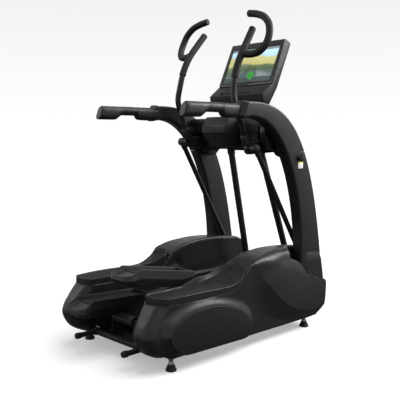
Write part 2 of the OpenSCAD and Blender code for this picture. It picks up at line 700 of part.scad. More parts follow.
base_frame();
rear_crossbar();
stub_caps();
floor_plate();
roller_bracket();
rest_roller();
leveling_feet();
front_cover();
power_inlet();
side_shell(1);  // side_shell_right
side_shell(-1);  // side_shell_left
side_panel(1);  // side_panel_right
side_panel(-1);  // side_panel_left
step_cover(1);  // step_cover_right
step_cover(-1);  // step_cover_left
step_mat(1);  // step_mat_right
step_mat(-1);  // step_mat_left
tower(1);  // tower_right
tower(-1);  // tower_left
tower_cap(1);  // tower_cap_right
tower_cap(-1);  // tower_cap_left
tower_boots();
cap_knob(1);  // cap_knob_right
cap_knob(-1);  // cap_knob_left
handrail(1);  // handrail_right
handrail(-1);  // handrail_left
rail_grips();
rail_end_caps();
crossbeam();
shaft_housings();
head_shaft();
head_cover();
console_mast();
console_shell();
console_bezel();
screen_panel();
swing_arm(1);  // swing_arm_right
swing_arm(-1);  // swing_arm_left
handle_tube(1);  // handle_tube_right
handle_tube(-1);  // handle_tube_left
handle_grip(1);  // handle_grip_right
handle_grip(-1);  // handle_grip_left
loop_grip(1);  // loop_grip_right
loop_grip(-1);  // loop_grip_left
pushrod(1, t_right, rod_lean_right);  // pushrod_right
pushrod(-1, t_left, rod_lean_left);  // pushrod_left
drive_lever(1, rod_end_right);  // drive_lever_right
drive_lever(-1, rod_end_left);  // drive_lever_left
drive_belts();
flywheel();
beam_yoke(1);  // beam_yoke_right
beam_yoke(-1);  // beam_yoke_left
foot_beam(1);  // foot_beam_right
foot_beam(-1);  // foot_beam_left
pedal_tray(1);  // pedal_tray_right
pedal_tray(-1);  // pedal_tray_left
pedal_mat(1);  // pedal_mat_right
pedal_mat(-1);  // pedal_mat_left
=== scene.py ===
"""Looks of the elliptical trainer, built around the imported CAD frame. Lengths are in millimetres until piece()."""
import json
import math

import bmesh
import bpy
import numpy as np
from mathutils import Matrix, Vector
from mathutils.geometry import delaunay_2d_cdt


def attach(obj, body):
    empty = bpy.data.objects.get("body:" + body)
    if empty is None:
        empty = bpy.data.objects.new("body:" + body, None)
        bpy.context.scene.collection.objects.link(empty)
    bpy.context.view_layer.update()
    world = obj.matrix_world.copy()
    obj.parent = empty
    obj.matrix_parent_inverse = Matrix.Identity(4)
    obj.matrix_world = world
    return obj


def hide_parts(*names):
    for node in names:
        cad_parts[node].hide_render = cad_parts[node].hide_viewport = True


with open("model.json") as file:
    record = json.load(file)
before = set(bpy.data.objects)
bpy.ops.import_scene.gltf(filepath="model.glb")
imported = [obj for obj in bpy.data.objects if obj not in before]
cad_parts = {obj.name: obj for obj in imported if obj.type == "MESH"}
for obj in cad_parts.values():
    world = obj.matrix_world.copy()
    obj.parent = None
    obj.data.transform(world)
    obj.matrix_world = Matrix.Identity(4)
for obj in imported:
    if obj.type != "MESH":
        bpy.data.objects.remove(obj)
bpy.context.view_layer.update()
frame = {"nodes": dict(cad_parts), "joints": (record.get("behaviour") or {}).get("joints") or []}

MM = 0.001
SIDES = ("right", "left")
PIVOT = {j["name"]: Vector((0, j["pos_m"][1], j["pos_m"][2])) / MM for j in frame["joints"]}
HEAD = PIVOT["right_swing"]
LEVER = PIVOT["right_lever_hinge"]
SWING_DIFF = 9.0
LIFT_DIFF = 6.7
HANGER_X = 112
HANGER_LEAN = 21.35


def rot_x(degrees):
    return Matrix.Rotation(math.radians(degrees), 4, "X")


def turn_about(p, degrees):
    return Matrix.Translation(p) @ rot_x(degrees) @ Matrix.Translation(-p)


MIRROR = Matrix.Scale(-1, 4, (1, 0, 0))
STILL = Matrix.Identity(4)
BASE = {"right": STILL, "left": MIRROR}
ARM = {"right": STILL, "left": MIRROR @ turn_about(HEAD, -SWING_DIFF)}
FOOT = {"right": Matrix.Translation(PIVOT["right_lift"]),
        "left": Matrix.Translation(PIVOT["left_lift"]) @ rot_x(LIFT_DIFF) @ MIRROR}
ROD = {"right": Matrix.Translation(PIVOT["right_rod_hinge"]) @ rot_x(32.8),
       "left": MIRROR @ Matrix.Translation(PIVOT["left_rod_hinge"]) @ rot_x(31.0)}

# ---------- materials ----------

NOISE_SPAN = (0.3, 0.7)


def join(tree, entry, value):
    """Links another node's output to the entry, or sets a plain value."""
    if isinstance(value, bpy.types.NodeSocket):
        tree.links.new(value, entry)
    else:
        entry.default_value = value


def feed(tree, node, **inputs):
    """Fills the node's inputs, with _ for a space in their names, and returns its first output."""
    for key, value in inputs.items():
        join(tree, node.inputs[key.replace("_", " ")], value)
    return node.outputs[0]


def add(tree, kind, **inputs):
    return feed(tree, tree.nodes.new("ShaderNode" + kind), **inputs)


def arithmetic(tree, operation, *values):
    node = tree.nodes.new("ShaderNodeMath")
    node.operation = operation
    for entry, value in zip(node.inputs, values):
        join(tree, entry, value)
    return node.outputs[0]


def coordinates(tree, kind="Object"):
    return tree.nodes.new("ShaderNodeTexCoord").outputs[kind]


def coordinate(tree, axis, kind="Object"):
    node = tree.nodes.new("ShaderNodeSeparateXYZ")
    feed(tree, node, Vector=coordinates(tree, kind))
    return node.outputs[axis]


def remap(tree, value, low, high, span):
    """Stretches the value's span to low..high."""
    return add(tree, "MapRange", Value=value, From_Min=span[0], From_Max=span[1], To_Min=low, To_Max=high)


def ramp(tree, value, stops):
    """Colours by value. stops are (position, colour), in rising order."""
    node = tree.nodes.new("ShaderNodeValToRGB")
    elements = node.color_ramp.elements
    for k, (at, colour) in enumerate(stops):
        stop = elements[k] if k < 2 else elements.new(at)
        stop.position, stop.color = at, (*colour, 1)
    return feed(tree, node, Fac=value)


def mixed(tree, factor, a, colour):
    """The linked colour a, turning into a plain colour as the factor rises."""
    node = tree.nodes.new("ShaderNodeMix")
    node.data_type = "RGBA"
    feed(tree, node, Factor=factor, A=a, B=(*colour, 1))
    return node.outputs["Result"]


def shaded(name):
    mat = bpy.data.materials.new(name)
    mat.use_nodes = True
    return mat, mat.node_tree, mat.node_tree.nodes["Principled BSDF"]


def material(name, colour, rough, metal=0.0, mottle=0.12, mottle_size=0.05, grain=0.0004, grain_depth=0.00006,
             specular=0.5, coat=0.0, streak=(1, 1, 1), scuff=0.0, weave=False):
    """A procedural finish: colour mottling, roughness variation and a fine surface grain. Sizes are in metres."""
    mat, tree, shader = shaded(name)
    feed(tree, shader, Metallic=metal, Specular_IOR_Level=specular, Coat_Weight=coat, Coat_Roughness=0.12)
    place = add(tree, "Mapping", Vector=coordinates(tree), Scale=streak)

    def noise(size, detail):
        return add(tree, "TexNoise", Vector=place, Scale=1.0 / size, Detail=detail)

    shades = [[c * (1 + side * mottle) for c in colour] for side in (-1, 1)]
    tint = ramp(tree, noise(mottle_size, 3.0), zip(NOISE_SPAN, shades))
    if scuff:
        marks = remap(tree, noise(0.006, 6.0), 0.0, scuff, (0.56, 0.74))
        tint = mixed(tree, marks, tint, [min(1, c * 2.6 + 0.01) for c in colour])
    gloss = remap(tree, noise(mottle_size * 0.4, 4.0), rough * 0.88, min(1, rough * 1.12), NOISE_SPAN)
    fine = add(tree, "TexVoronoi", Vector=place, Scale=1.0 / grain) if weave else noise(grain, 2.0)
    bump = add(tree, "Bump", Height=fine, Strength=0.35, Distance=grain_depth)
    feed(tree, shader, Base_Color=tint, Roughness=gloss, Normal=bump)
    return mat


MATS = {
    "frame_steel": material("powder_coat_black", (0.006, 0.0062, 0.0065), 0.5, grain=0.0009, grain_depth=0.00006,
                            specular=0.25),
    "arm_steel": material("powder_coat_graphite", (0.007, 0.0072, 0.0076), 0.42, grain=0.0008, grain_depth=0.00005,
                          specular=0.3),
    "bright_steel": material("turned_steel", (0.38, 0.39, 0.4), 0.32, metal=1.0, mottle=0.06,
                             streak=(1, 0.08, 0.08), grain=0.0006, grain_depth=0.00003),
    "shell_plastic": material("moulded_shell", (0.0085, 0.0085, 0.0087), 0.38, mottle=0.05, mottle_size=0.12,
                              grain=0.0008, grain_depth=0.00005, specular=0.28),
    "cover_plastic": material("moulded_cover", (0.0088, 0.0088, 0.009), 0.38, mottle=0.05, mottle_size=0.1,
                              grain=0.0008, grain_depth=0.00004, specular=0.28),
    "dark_rubber": material("tread_rubber", (0.006, 0.006, 0.0062), 0.6, scuff=0.25, grain=0.0012,
                            grain_depth=0.0001, mottle=0.2, specular=0.22),
    "grip_foam": material("grip_foam", (0.006, 0.006, 0.0062), 0.58, weave=True, grain=0.0011,
                          grain_depth=0.0001, mottle=0.1, specular=0.25),
    "console_plastic": material("console_plastic", (0.009, 0.0092, 0.0096), 0.46, mottle=0.05, grain=0.0007,
                                grain_depth=0.00005, specular=0.2),
    "bezel_gloss": material("bezel_gloss", (0.006, 0.0062, 0.0066), 0.22, mottle=0.05, coat=0.2, grain=0.0006,
                            grain_depth=0.00002, specular=0.4),
}

GRIP_SKIN = material("rail_grip_skin", (0.0085, 0.0085, 0.0088), 0.46, mottle=0.08, grain=0.0009,
                     grain_depth=0.0001, specular=0.28)
# Steel darkened as painted shade: the levelling feet's stems and nuts look dark in the shadow under the shell.
SHADE_DARKENED_STEEL = material("steel_darkened_for_shade", (0.2, 0.2, 0.195), 0.42, metal=1.0, mottle=0.15, mottle_size=0.01, grain_depth=0.00004)
ROLLER_SKIN = material("roller_sleeve", (0.009, 0.009, 0.0095), 0.4, mottle=0.08, specular=0.3)

# ---------- mesh helpers ----------


def mesh_from(verts, faces):
    bm = bmesh.new()
    made = [bm.verts.new(v) for v in verts]
    for face in faces:
        ids = []
        for i in face:
            if not ids or ids[-1] != i:
                ids.append(i)
        if len(set(ids)) >= 3:
            bm.faces.new([made[i] for i in ids])
    return bm


def loft(rings, end_cap=True):
    """Quads between rings of the same number of points, capped at the start and, unless told not to, the end."""
    n = len(rings[0])
    last = (len(rings) - 1) * n
    faces = [(i + j, i + (j + 1) % n, i + n + (j + 1) % n, i + n + j) for i in range(0, last, n) for j in range(n)]
    faces.append(tuple(range(n - 1, -1, -1)))
    if end_cap:
        faces.append(tuple(range(last, last + n)))
    return mesh_from([p for ring in rings for p in ring], faces)


AXES = {"x": lambda t, u, v: (t, u, v), "y": lambda t, u, v: (u, t, v), "z": lambda t, u, v: (u, v, t)}


def prism(outline, a, b, axis="x"):
    put = AXES[axis]
    return loft([[put(t, u, v) for u, v in outline] for t in (a, b)])


def sharper(e, angle):
    return len(e.link_faces) == 2 and e.calc_face_angle(0) > math.radians(angle)


def bevel(bm, width, segments=3, angle=25):
    """Rounds the edges sharper than the angle."""
    bm.normal_update()
    edges = [e for e in bm.edges if sharper(e, angle)]
    bmesh.ops.bevel(bm, geom=edges, offset=width, segments=segments, profile=0.5, affect="EDGES",
                    clamp_overlap=True)
    return bm


def plain_mesh(bm, name="held"):
    """Moves the mesh being edited into a plain one."""
    mesh = bpy.data.meshes.new(name)
    bm.to_mesh(mesh)
    bm.free()
    return mesh


def placed(name, data):
    o = bpy.data.objects.new(name, data)
    bpy.context.scene.collection.objects.link(o)
    return o


def merge(*parts):
    out = parts[0]
    for part in parts[1:]:
        held = plain_mesh(part)
        out.from_mesh(held)
        bpy.data.meshes.remove(held)
    return out


def moved(bm, matrix):
    bmesh.ops.transform(bm, matrix=matrix, verts=bm.verts)
    return bm


def box(a, b, round_by=0.0, segments=3):
    bm = prism([(a[1], a[2]), (b[1], a[2]), (b[1], b[2]), (a[1], b[2])], a[0], b[0])
    return bevel(bm, round_by, segments) if round_by else bm


def ring_points(centre, u, v, radius, n):
    return [centre + radius * (math.cos(2 * math.pi * j / n) * u + math.sin(2 * math.pi * j / n) * v)
            for j in range(n)]


def lathe(profile, at=(0, 0, 0), axis="x", n=40):
    """Turns a profile of (distance along the axis, radius) about the axis through at."""
    u, v = {"x": (Vector((0, 1, 0)), Vector((0, 0, 1))), "y": (Vector((1, 0, 0)), Vector((0, 0, 1))),
            "z": (Vector((1, 0, 0)), Vector((0, 1, 0)))}[axis]
    along = Vector([1 if a == axis else 0 for a in "xyz"])
    rings = [ring_points(Vector(at) + along * t, u, v, max(r, 0.02), n) for t, r in profile]
    return loft(rings)


def rod(r, x0, x1, p, edge):
    """A round bar along X through p = (y, z), with softened ends."""
    return lathe([(x0, r - edge), (x0 + 0.3 * edge, r - 0.3 * edge), (x0 + edge, r), (x1 - edge, r),
                  (x1 - 0.3 * edge, r - 0.3 * edge), (x1, r - edge)], (0, *p))


def hermite(v0, v1, d, m0, m1, s):
    """From v0 to v1 over the distance d, with slopes m0 and m1 at its ends, at the share s of the way."""
    s2, s3 = s * s, s * s * s
    return (2 * s3 - 3 * s2 + 1) * v0 + (s3 - 2 * s2 + s) * d * m0 + (3 * s2 - 2 * s3) * v1 + (s3 - s2) * d * m1


def curve_through(points, step):
    """A smooth curve through the points, tangents weighted by the lengths of the spans, sampled every step."""
    pts = [Vector(p) for p in points]
    d = [(b - a).length for a, b in zip(pts, pts[1:])]
    rates = [(b - a) / gap for a, b, gap in zip(pts, pts[1:], d)]
    slopes = [(rates[i] * d[i - 1] + rates[i - 1] * d[i]) / (d[i - 1] + d[i]) for i in range(1, len(d))]
    slopes = [rates[0]] + slopes + [rates[-1]]
    out = []
    for i in range(len(d)):
        k = max(1, round(d[i] / step))
        out += [hermite(pts[i], pts[i + 1], d[i], slopes[i], slopes[i + 1], j / k) for j in range(k)]
    return out + [pts[-1]]


def tube(path, radius, n=28, edge=4.0, side=(1, 0, 0)):
    """A round tube along the path, its ends rounded over by edge."""
    path, side = [Vector(p) for p in path], Vector(side)
    heads = [(path[min(i + 1, len(path) - 1)] - path[max(i - 1, 0)]).normalized() for i in range(len(path))]

    def end(i, way):
        turns = [k / 4 * math.pi / 2 for k in range(5)]
        return [(path[i] + heads[i] * edge * (1 - math.cos(a)) * way, heads[i], radius - edge * (1 - math.sin(a)))
                for a in turns]

    middle = [(p, h, radius) for p, h in zip(path, heads)
              if min((p - path[0]).length, (p - path[-1]).length) > edge + 1]
    rings = []
    for p, h, r in end(0, 1) + middle + end(-1, -1)[::-1]:
        u = (side - h * side.dot(h)).normalized()
        rings.append(ring_points(p, u, h.cross(u), r, n))
    return loft(rings)


def boolean(bm, tool, operation="DIFFERENCE"):
    for part in (bm, tool):
        bmesh.ops.recalc_face_normals(part, faces=part.faces)
    target, cutter = placed("held", plain_mesh(bm)), placed("held", plain_mesh(tool))
    mod = target.modifiers.new("cut", "BOOLEAN")
    mod.operation, mod.object, mod.solver = operation, cutter, "EXACT"
    done = bpy.data.meshes.new_from_object(target.evaluated_get(bpy.context.evaluated_depsgraph_get()))
    out = bmesh.new()
    out.from_mesh(done)
    for mesh in (target.data, cutter.data, done):
        bpy.data.meshes.remove(mesh)
    return out


def rounded(points, radius, n=5):
    """A closed outline with its corners rounded. radius is a number or one for each corner."""
    pts = [Vector(p) for p in points]
    out = []
    for i, p in enumerate(pts):
        r = radius[i] if isinstance(radius, (list, tuple)) else radius
        a, b = pts[i - 1] - p, pts[(i + 1) % len(pts)] - p
        reach = min(r, a.length * 0.48, b.length * 0.48)
        if reach < 0.2:
            out.append(tuple(p))
            continue
        p0, p1 = p + a.normalized() * reach, p + b.normalized() * reach
        for k in range(n + 1):
            t = k / n
            out.append(tuple(p0 * (1 - t) ** 2 + p * 2 * t * (1 - t) + p1 * t * t))
    return out


def ease(a, b, t):
    t = min(1.0, max(0.0, (t - a) / (b - a)))
    return t * t * (3 - 2 * t)


def along(points, t):
    """Straight interpolation of (t, value) points, level outside them."""
    if t <= points[0][0]:
        return points[0][1]
    for (t0, v0), (t1, v1) in zip(points, points[1:]):
        if t <= t1:
            return v0 + (v1 - v0) * (t - t0) / (t1 - t0)
    return points[-1][1]


def smooth_table(points, t):
    """Smooth interpolation of (t, value) points, level outside them."""
    def slope(k):
        (t0, v0), (t1, v1) = points[max(0, k - 1)], points[min(len(points) - 1, k + 1)]
        return (v1 - v0) / (t1 - t0)

    if t <= points[0][0]:
        return points[0][1]
    for i, ((t0, v0), (t1, v1)) in enumerate(zip(points, points[1:])):
        if t <= t1:
            return hermite(v0, v1, t1 - t0, slope(i), slope(i + 1), (t - t0) / (t1 - t0))
    return points[-1][1]


def slab(points, corner, a, b, edge, steps=4, axis="x", segments=2):
    """A plate of the outline from a to b on the axis, with turned corners and softened edges."""
    return bevel(prism(rounded(points, corner, steps), a, b, axis), edge, segments, 40)


def hexagon(centre, r, a, b, edge, axis="x"):
    """A bolt head or nut from a to b on the axis."""
    ring = [(centre[0] + r * math.cos(math.pi / 3 * k), centre[1] + r * math.sin(math.pi / 3 * k)) for k in range(6)]
    return bevel(prism(ring, a, b, axis), edge, 2, 40)


def piece(name, bm, nodes, slot_name, matrix=STILL, body="chassis", mat=None, sharp=32):
    """Places a mesh in the part's frame, in metres, and ties it to its body, CAD node and finish."""
    bmesh.ops.remove_doubles(bm, verts=bm.verts, dist=0.02)
    moved(bm, Matrix.Scale(MM, 4) @ matrix)
    bmesh.ops.recalc_face_normals(bm, faces=bm.faces)
    bm.normal_update()
    for e in bm.edges:
        if sharper(e, sharp):
            e.smooth = False
    for f in bm.faces:
        f.smooth = True
    o = placed(name, plain_mesh(bm, name))
    o.data.materials.append(mat or MATS[slot_name])
    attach(o, body)
    if nodes:
        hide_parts(nodes)


# ---------- surfaces drawn over an outline ----------


def reach_to(points, line, closed=True):
    """Distance of each point to a line."""
    p = np.array(points, float)[:, None, :]
    a = np.array([(q[0], q[1]) for q in line], float)
    b = np.roll(a, -1, axis=0)
    if not closed:
        a, b = a[:-1], b[:-1]
    ab = b - a
    t = np.clip(((p - a) * ab).sum(2) / np.maximum((ab * ab).sum(1), 1e-9), 0, 1)
    return np.linalg.norm(p - (a + t[..., None] * ab), axis=2).min(1)


def inside(points, outline):
    """Even-odd test of many points against a closed outline."""
    p = np.array(points, float)
    a = np.array([(q[0], q[1]) for q in outline], float)
    b = np.roll(a, -1, axis=0)
    y, z = p[:, 0][:, None], p[:, 1][:, None]
    with np.errstate(divide="ignore", invalid="ignore"):
        at = (b[:, 0] - a[:, 0]) * (z - a[:, 1]) / (b[:, 1] - a[:, 1]) + a[:, 0]
    return (((a[:, 1] > z) != (b[:, 1] > z)) & (y < at)).sum(1) % 2 == 1


def clip_line(points, outline, margin):
    """The runs of a line that lie inside the outline by at least margin."""
    runs, run = [], []
    for p, good, gap in zip(points, inside(points, outline), reach_to(points, outline)):
        if good and gap > margin:
            run.append(p)
        else:
            if len(run) > 1:
                runs.append(run)
            run = []
    return runs + ([run] if len(run) > 1 else [])


CELL = 8


def patch(outline, lines, spacing, rim_steps):
    """Triangles inside an outline: points, faces, where the outline's points went, and the creases.

    lines are (points, is a crease). rim_steps(i) gives the distances from the outline's point i to extra points."""
    n = len(outline)
    loose = []
    for i in range(n):
        before, here, after = outline[i - 1], outline[i], outline[(i + 1) % n]
        d = Vector((after[0] - before[0], after[1] - before[1])).normalized()
        for step in rim_steps(i):
            for side in (1, -1):
                loose.append((here[0] + d.y * step * side, here[1] - d.x * step * side))
    lows = [min(q[k] for q in outline) for k in (0, 1)]
    highs = [max(q[k] for q in outline) for k in (0, 1)]
    row, u = 0, lows[0] + spacing * 0.4
    while u < highs[0]:
        v = lows[1] + (spacing / 2 if row % 2 else 0)
        while v < highs[1]:
            loose.append((u, v))
            v += spacing
        u += spacing * 0.87
        row += 1
    cells = {}

    def cell(q):
        return int(q[0] // CELL), int(q[1] // CELL)

    def taken(q, limit):
        cu, cv = cell(q)
        return any((q[0] - o[0]) ** 2 + (q[1] - o[1]) ** 2 < limit * limit
                   for i in (-1, 0, 1) for j in (-1, 0, 1) for o in cells.get((cu + i, cv + j), ()))

    def keep(q):
        cells.setdefault(cell(q), []).append(q)

    for q in [(o[0], o[1]) for o in outline] + [q for pts, _ in lines for q in pts]:
        keep(q)
    verts = [Vector((o[0], o[1])) for o in outline]
    edges, kinds = [], []
    for pts, crease in lines:
        start = len(verts)
        verts += [Vector(q) for q in pts]
        edges += [(start + k, start + k + 1) for k in range(len(pts) - 1)]
        kinds += [crease] * (len(pts) - 1)
    near_edge = reach_to(loose, outline)
    for q, ok, gap in zip(loose, inside(loose, outline), near_edge):
        if ok and gap > 0.5 and not taken(q, 1.3 if gap < 30 else 4.0):
            keep(q)
            verts.append(Vector(q))
    out_v, out_e, out_f, from_v, from_e, _ = delaunay_2d_cdt(verts, edges, [list(range(n))], 1, 1e-4)
    found = {s: i for i, sources in enumerate(from_v) for s in sources if s < n}
    creases = {frozenset(e) for e, sources in zip(out_e, from_e)
               if any(s < len(kinds) and kinds[s] for s in sources)}
    return [(v.x, v.y) for v in out_v], out_f, found, creases


# ---------- side shells ----------

SHELL_IN, SHELL_OUT = 214.0, 377.0
BULGE_X, SHOULDER_X = 395.0, 396.0
REAR = [(-516, 75), (-562, 100), (-590, 138), (-602, 178), (-590, 222), (-563, 262), (-536, 297), (-517, 319)]
SEAM = [(-517, 319), (-155, 316.5), (-71, 320.5), (-13, 351.5), (30, 392.5), (60, 428.5)]
TOP = [(60, 428.5), (124, 452), (218, 469), (300, 475), (401, 473), (527, 463), (612, 449), (644, 430),
       (656, 405), (667, 345), (677, 280)]
FRONT = [(677, 281), (681, 276), (692, 262), (695, 256), (696, 205), (692, 165), (682, 122), (666, 92), (648, 72),
         (630, 62)]
FOLD = [(90, 381), (140, 389), (221, 400), (309, 421), (362, 423), (396, 418), (434, 406), (470, 387), (507, 360),
        (543, 330), (578, 305), (622, 285), (704, 262)]
BELLY = [(-516, 75), (-400, 74), (-80, 69), (200, 64), (630, 62)]
CREASE_UP = [(110, 392), (158, 338), (231, 268), (299, 208), (359, 170), (448, 134), (558, 115), (690, 123)]
CREASE_LOW = [(54, 228), (100, 199), (156, 165), (212, 138), (296, 105), (382, 85), (430, 76)]
PLATEAU = (-227, 138, 268, 138, -6.8, 97)
ROLL = (-233, 169, 312, 149, -5.3, 132)
CAP_LINE = [(22, 346), (52, 388), (114, 415), (192, 435), (315, 451), (400, 453), (640, 430)]
SLOT_Y = (462, 628)
NOSE_X, NOTCH_X = 310.0, 303.0


def plain_curve(points, step):
    return [(q.x, q.y) for q in curve_through([(a, b, 0) for a, b in points], step)]


def ellipse_level(e, y, z):
    c, s = math.cos(math.radians(e[4])), math.sin(math.radians(e[4]))
    dy, dz = y - e[0], z - e[1]
    v = -dy * s + dz * c
    return math.hypot((dy * c + dz * s) / e[2], v / (e[3] if v > 0 else e[5]))


def ellipse_point(e, scale, a):
    c, s = math.cos(math.radians(e[4])), math.sin(math.radians(e[4]))
    u, v = e[2] * scale * math.cos(a), (e[3] if math.sin(a) > 0 else e[5]) * scale * math.sin(a)
    return (e[0] + u * c - v * s, e[1] + u * s + v * c)


def beyond(points, t):
    """Like smooth_table(), but carries the first slope on below the first point."""
    if t < points[0][0]:
        (t0, v0), (t1, v1) = points[0], points[1]
        return v0 + (v1 - v0) * (t - t0) / (t1 - t0)
    return smooth_table(points, t)


def side_height(y, z):
    """How far out the shell's side stands at (y, z), before its edges are rounded."""
    up, low = beyond(CREASE_UP, y), beyond(CREASE_LOW, y)
    ahead = ease(50, 215 + 80 * ease(300, 400, z), y + 0.3 * (z - 300))
    h = SHELL_OUT - 5 * ease(0, 160, y)
    proud = (SHOULDER_X - SHELL_OUT + 5) * ahead
    if z >= up:
        rise, below = min(z - up, 230), smooth_table(FOLD, y) - z
        convex = 14 * (1 - min(1.0, max(0.0, below) / 60)) ** 2 * ease(570, 430, y) * ease(260, 400, y)
        h += proud - (0.02 * rise + 8 * (rise / 200) ** 2 + convex) * ahead
        if below < 0:
            notch = ease(385, 450, y)
            h -= (h - NOTCH_X) * ease(0, 3.5, -below) * notch
    elif z > low:
        h += proud * (z - low) / (up - low)
    h -= 12 * ease(-370, -500, y) * ease(190, 265, z)
    out, inner = ellipse_level(ROLL, y, z), ellipse_level(PLATEAU, y, z)
    if inner < 0.994:
        return BULGE_X - 2.5
    if inner <= 1.0:
        return BULGE_X
    if out < 1:
        t = (1 - out) / ((1 - out) + (inner - 1))
        sharp = ease(-80, 60, y)
        h += (BULGE_X - h) * ((1 - sharp) * t * t * (3 - 2 * t) + sharp * (1 - (1 - t) ** 1.9))
    return h


def nose_radius(z):
    """Rounding of the rear end's outer corner."""
    return along([(75, 52), (150, 70), (200, 66), (245, 62), (319, 60)], z)


def corner_radius(z):
    """Rounding of the rear end's inner corner."""
    return along([(75, 62), (178, 75), (262, 58), (319, 40)], z)


def nose_height(d, z):
    """Outer side of the rounded rear end, at distance d from the rear outline."""
    r = nose_radius(z)
    return NOSE_X + (d if d >= r else math.sqrt(r * r - (r - d) ** 2))


def soft_min(a, b, k):
    if k < 0.1:
        return min(a, b)
    h = max(k - abs(a - b), 0.0) / k
    return min(a, b) - h * h * k / 4


def round_drop(d, r):
    return r - math.sqrt(max(0.0, r * r - (r - d) ** 2)) if d < r else 0.0


def rim_radius(y, z):
    """Rounding of the shell's outer edge, away from its rear end."""
    if z < 120 and y > -530:
        return along([(-530, 60), (-480, 54), (-440, 34), (-400, 14), (-350, 5), (560, 5), (600, 10), (664, 16)], y)
    if y < 60 or z < 440 and y < 90:
        return along([(-517, 0.8), (20, 0.8), (60, 8)], y)
    if z > 400:
        return along([(60, 8), (130, 28), (220, 50), (385, 50), (440, 8)], y)
    return along([(75, 14), (120, 14), (200, 10), (256, 5), (264, 5), (280, 10)], z)


LOW_STEPS = 104


def shell_sides():
    """The shell's outer and inner side over one outline, with the rows and creases that shape them."""
    rear, seam = plain_curve(REAR, 9), plain_curve(SEAM, 11)
    top = plain_curve(TOP, 10)[:-1] + plain_curve(FRONT, 9)
    low_y = [BELLY[-1][0] + (BELLY[0][0] - BELLY[-1][0]) * k / LOW_STEPS for k in range(LOW_STEPS)]
    bottom = [(y, smooth_table(BELLY, y)) for y in low_y]
    outline = rear[:-1] + seam[:-1] + top[:-1] + bottom
    kinds = ["rear"] * (len(rear) - 1) + ["seam"] * (len(seam) - 1) + ["top"] * (len(top) - 1)
    kinds += ["low"] * LOW_STEPS
    rest = outline[len(rear) - 1:] + [outline[0]]
    lines = []
    for pts in (CREASE_UP, CREASE_LOW):
        lines += [(run, True) for run in clip_line(plain_curve(pts, 9), outline, 7)]
    for lift, start in ((0, 380), (3.5, 380)):
        pts = plain_curve([(y, z + lift) for y, z in FOLD if y > start], 9)
        lines += [(run, True) for run in clip_line(pts, outline, 3)]
    ridge = []
    for y, z in rear:
        if z > 228:
            r = nose_radius(z)
            d = r - math.sqrt(max(0.0, r * r - (side_height(y + 35, z - 12) - NOSE_X) ** 2))
            ridge.append((y + 0.8 * d, z - 0.6 * d))
    lines += [(run, True) for run in clip_line(ridge, outline, 2)]
    turns = [math.pi * (0.5 + 2 * k / 130) for k in range(131)]
    for e, scale, crease in ((PLATEAU, 1.0, True), (PLATEAU, 0.994, True), (ROLL, 1.0, False)):
        hoop = [ellipse_point(e, scale, a) for a in turns]
        lines += [(run, crease) for run in clip_line(hoop, outline, 7)]
    for t in (0.15, 0.35, 0.6, 0.85):
        pairs = [(ellipse_point(ROLL, 1.0, a), ellipse_point(PLATEAU, 1.0, a)) for a in turns]
        hoop = [(o[0] + (i[0] - o[0]) * t, o[1] + (i[1] - o[1]) * t) for o, i in pairs]
        lines += [(run, False) for run in clip_line(hoop, outline, 10)]

    def outer_steps(i):
        if kinds[i] == "rear":
            return (2, 5, 9, 14, 20, 25, 28, 33, 40, 50)
        return (0.9, 2.4, 5, 9, 15, 24, 36) if kinds[i] in ("top", "low") else (0.8, 2, 3.6)

    def inner_steps(i):
        return (2, 6, 12, 20, 30, 42, 56, 74) if kinds[i] == "rear" else (1.5, 4, 9)

    plan, faces_out, map_out, creases = patch(outline, lines, 10.5, outer_steps)
    d_rear, d_rest = reach_to(plan, rear, False), reach_to(plan, rest, False)
    verts = []
    for (y, z), dr, dn in zip(plan, d_rear, d_rest):
        x = side_height(y, z) - round_drop(dn, rim_radius(y, z))
        verts.append(Vector((soft_min(x, nose_height(dr, z), 26 * ease(262, 190, z)), y, z)))
    strip = [(y, smooth_table(CAP_LINE, y)) for y in range(24, 640, 8)]
    marks = [(run, True) for lift in (0, -2.6) for run in clip_line([(y, z + lift) for y, z in strip], outline, 5)]
    plan_in, faces_in, map_in, creases_in = patch(outline, marks, 15.0, inner_steps)
    d_rear, d_rest = reach_to(plan_in, rear, False), reach_to(plan_in, rest, False)
    shift = len(verts)
    for (y, z), dr, dn in zip(plan_in, d_rear, d_rest):
        x = SHELL_IN + inner_recess(y, z) + round_drop(dn, 12.0 if z > 400 or y > 600 else 3.5)
        x = max(x, SHELL_IN + round_drop(dr, corner_radius(z)))
        verts.append(Vector((x, y, z)))
    return outline, kinds, verts, shift, faces_out, faces_in, map_out, map_in, creases, creases_in


def inner_recess(y, z):
    """Dents in the shell's inner side: below its capping strip, and ahead of the step."""
    cap = smooth_table(CAP_LINE, y) if y > 22 else 346 - (22 - y) * 1.6
    recess = 3.0 * ease(0.0, 2.5, cap - z)
    a, b, c = Vector((98, 400)), Vector((160, 321)), Vector((-1, 338))
    q = Vector((y, z))
    depth = min((v - u).cross(q - u) / (v - u).length * -1 for u, v in ((a, b), (b, c), (c, a)))
    return recess + 9.0 * ease(0, 26, depth)


COLUMNS_X = (226.0, 267.0, 300.0, 368.0)
STEP_HOLE, LIP = (-490, 4), 14


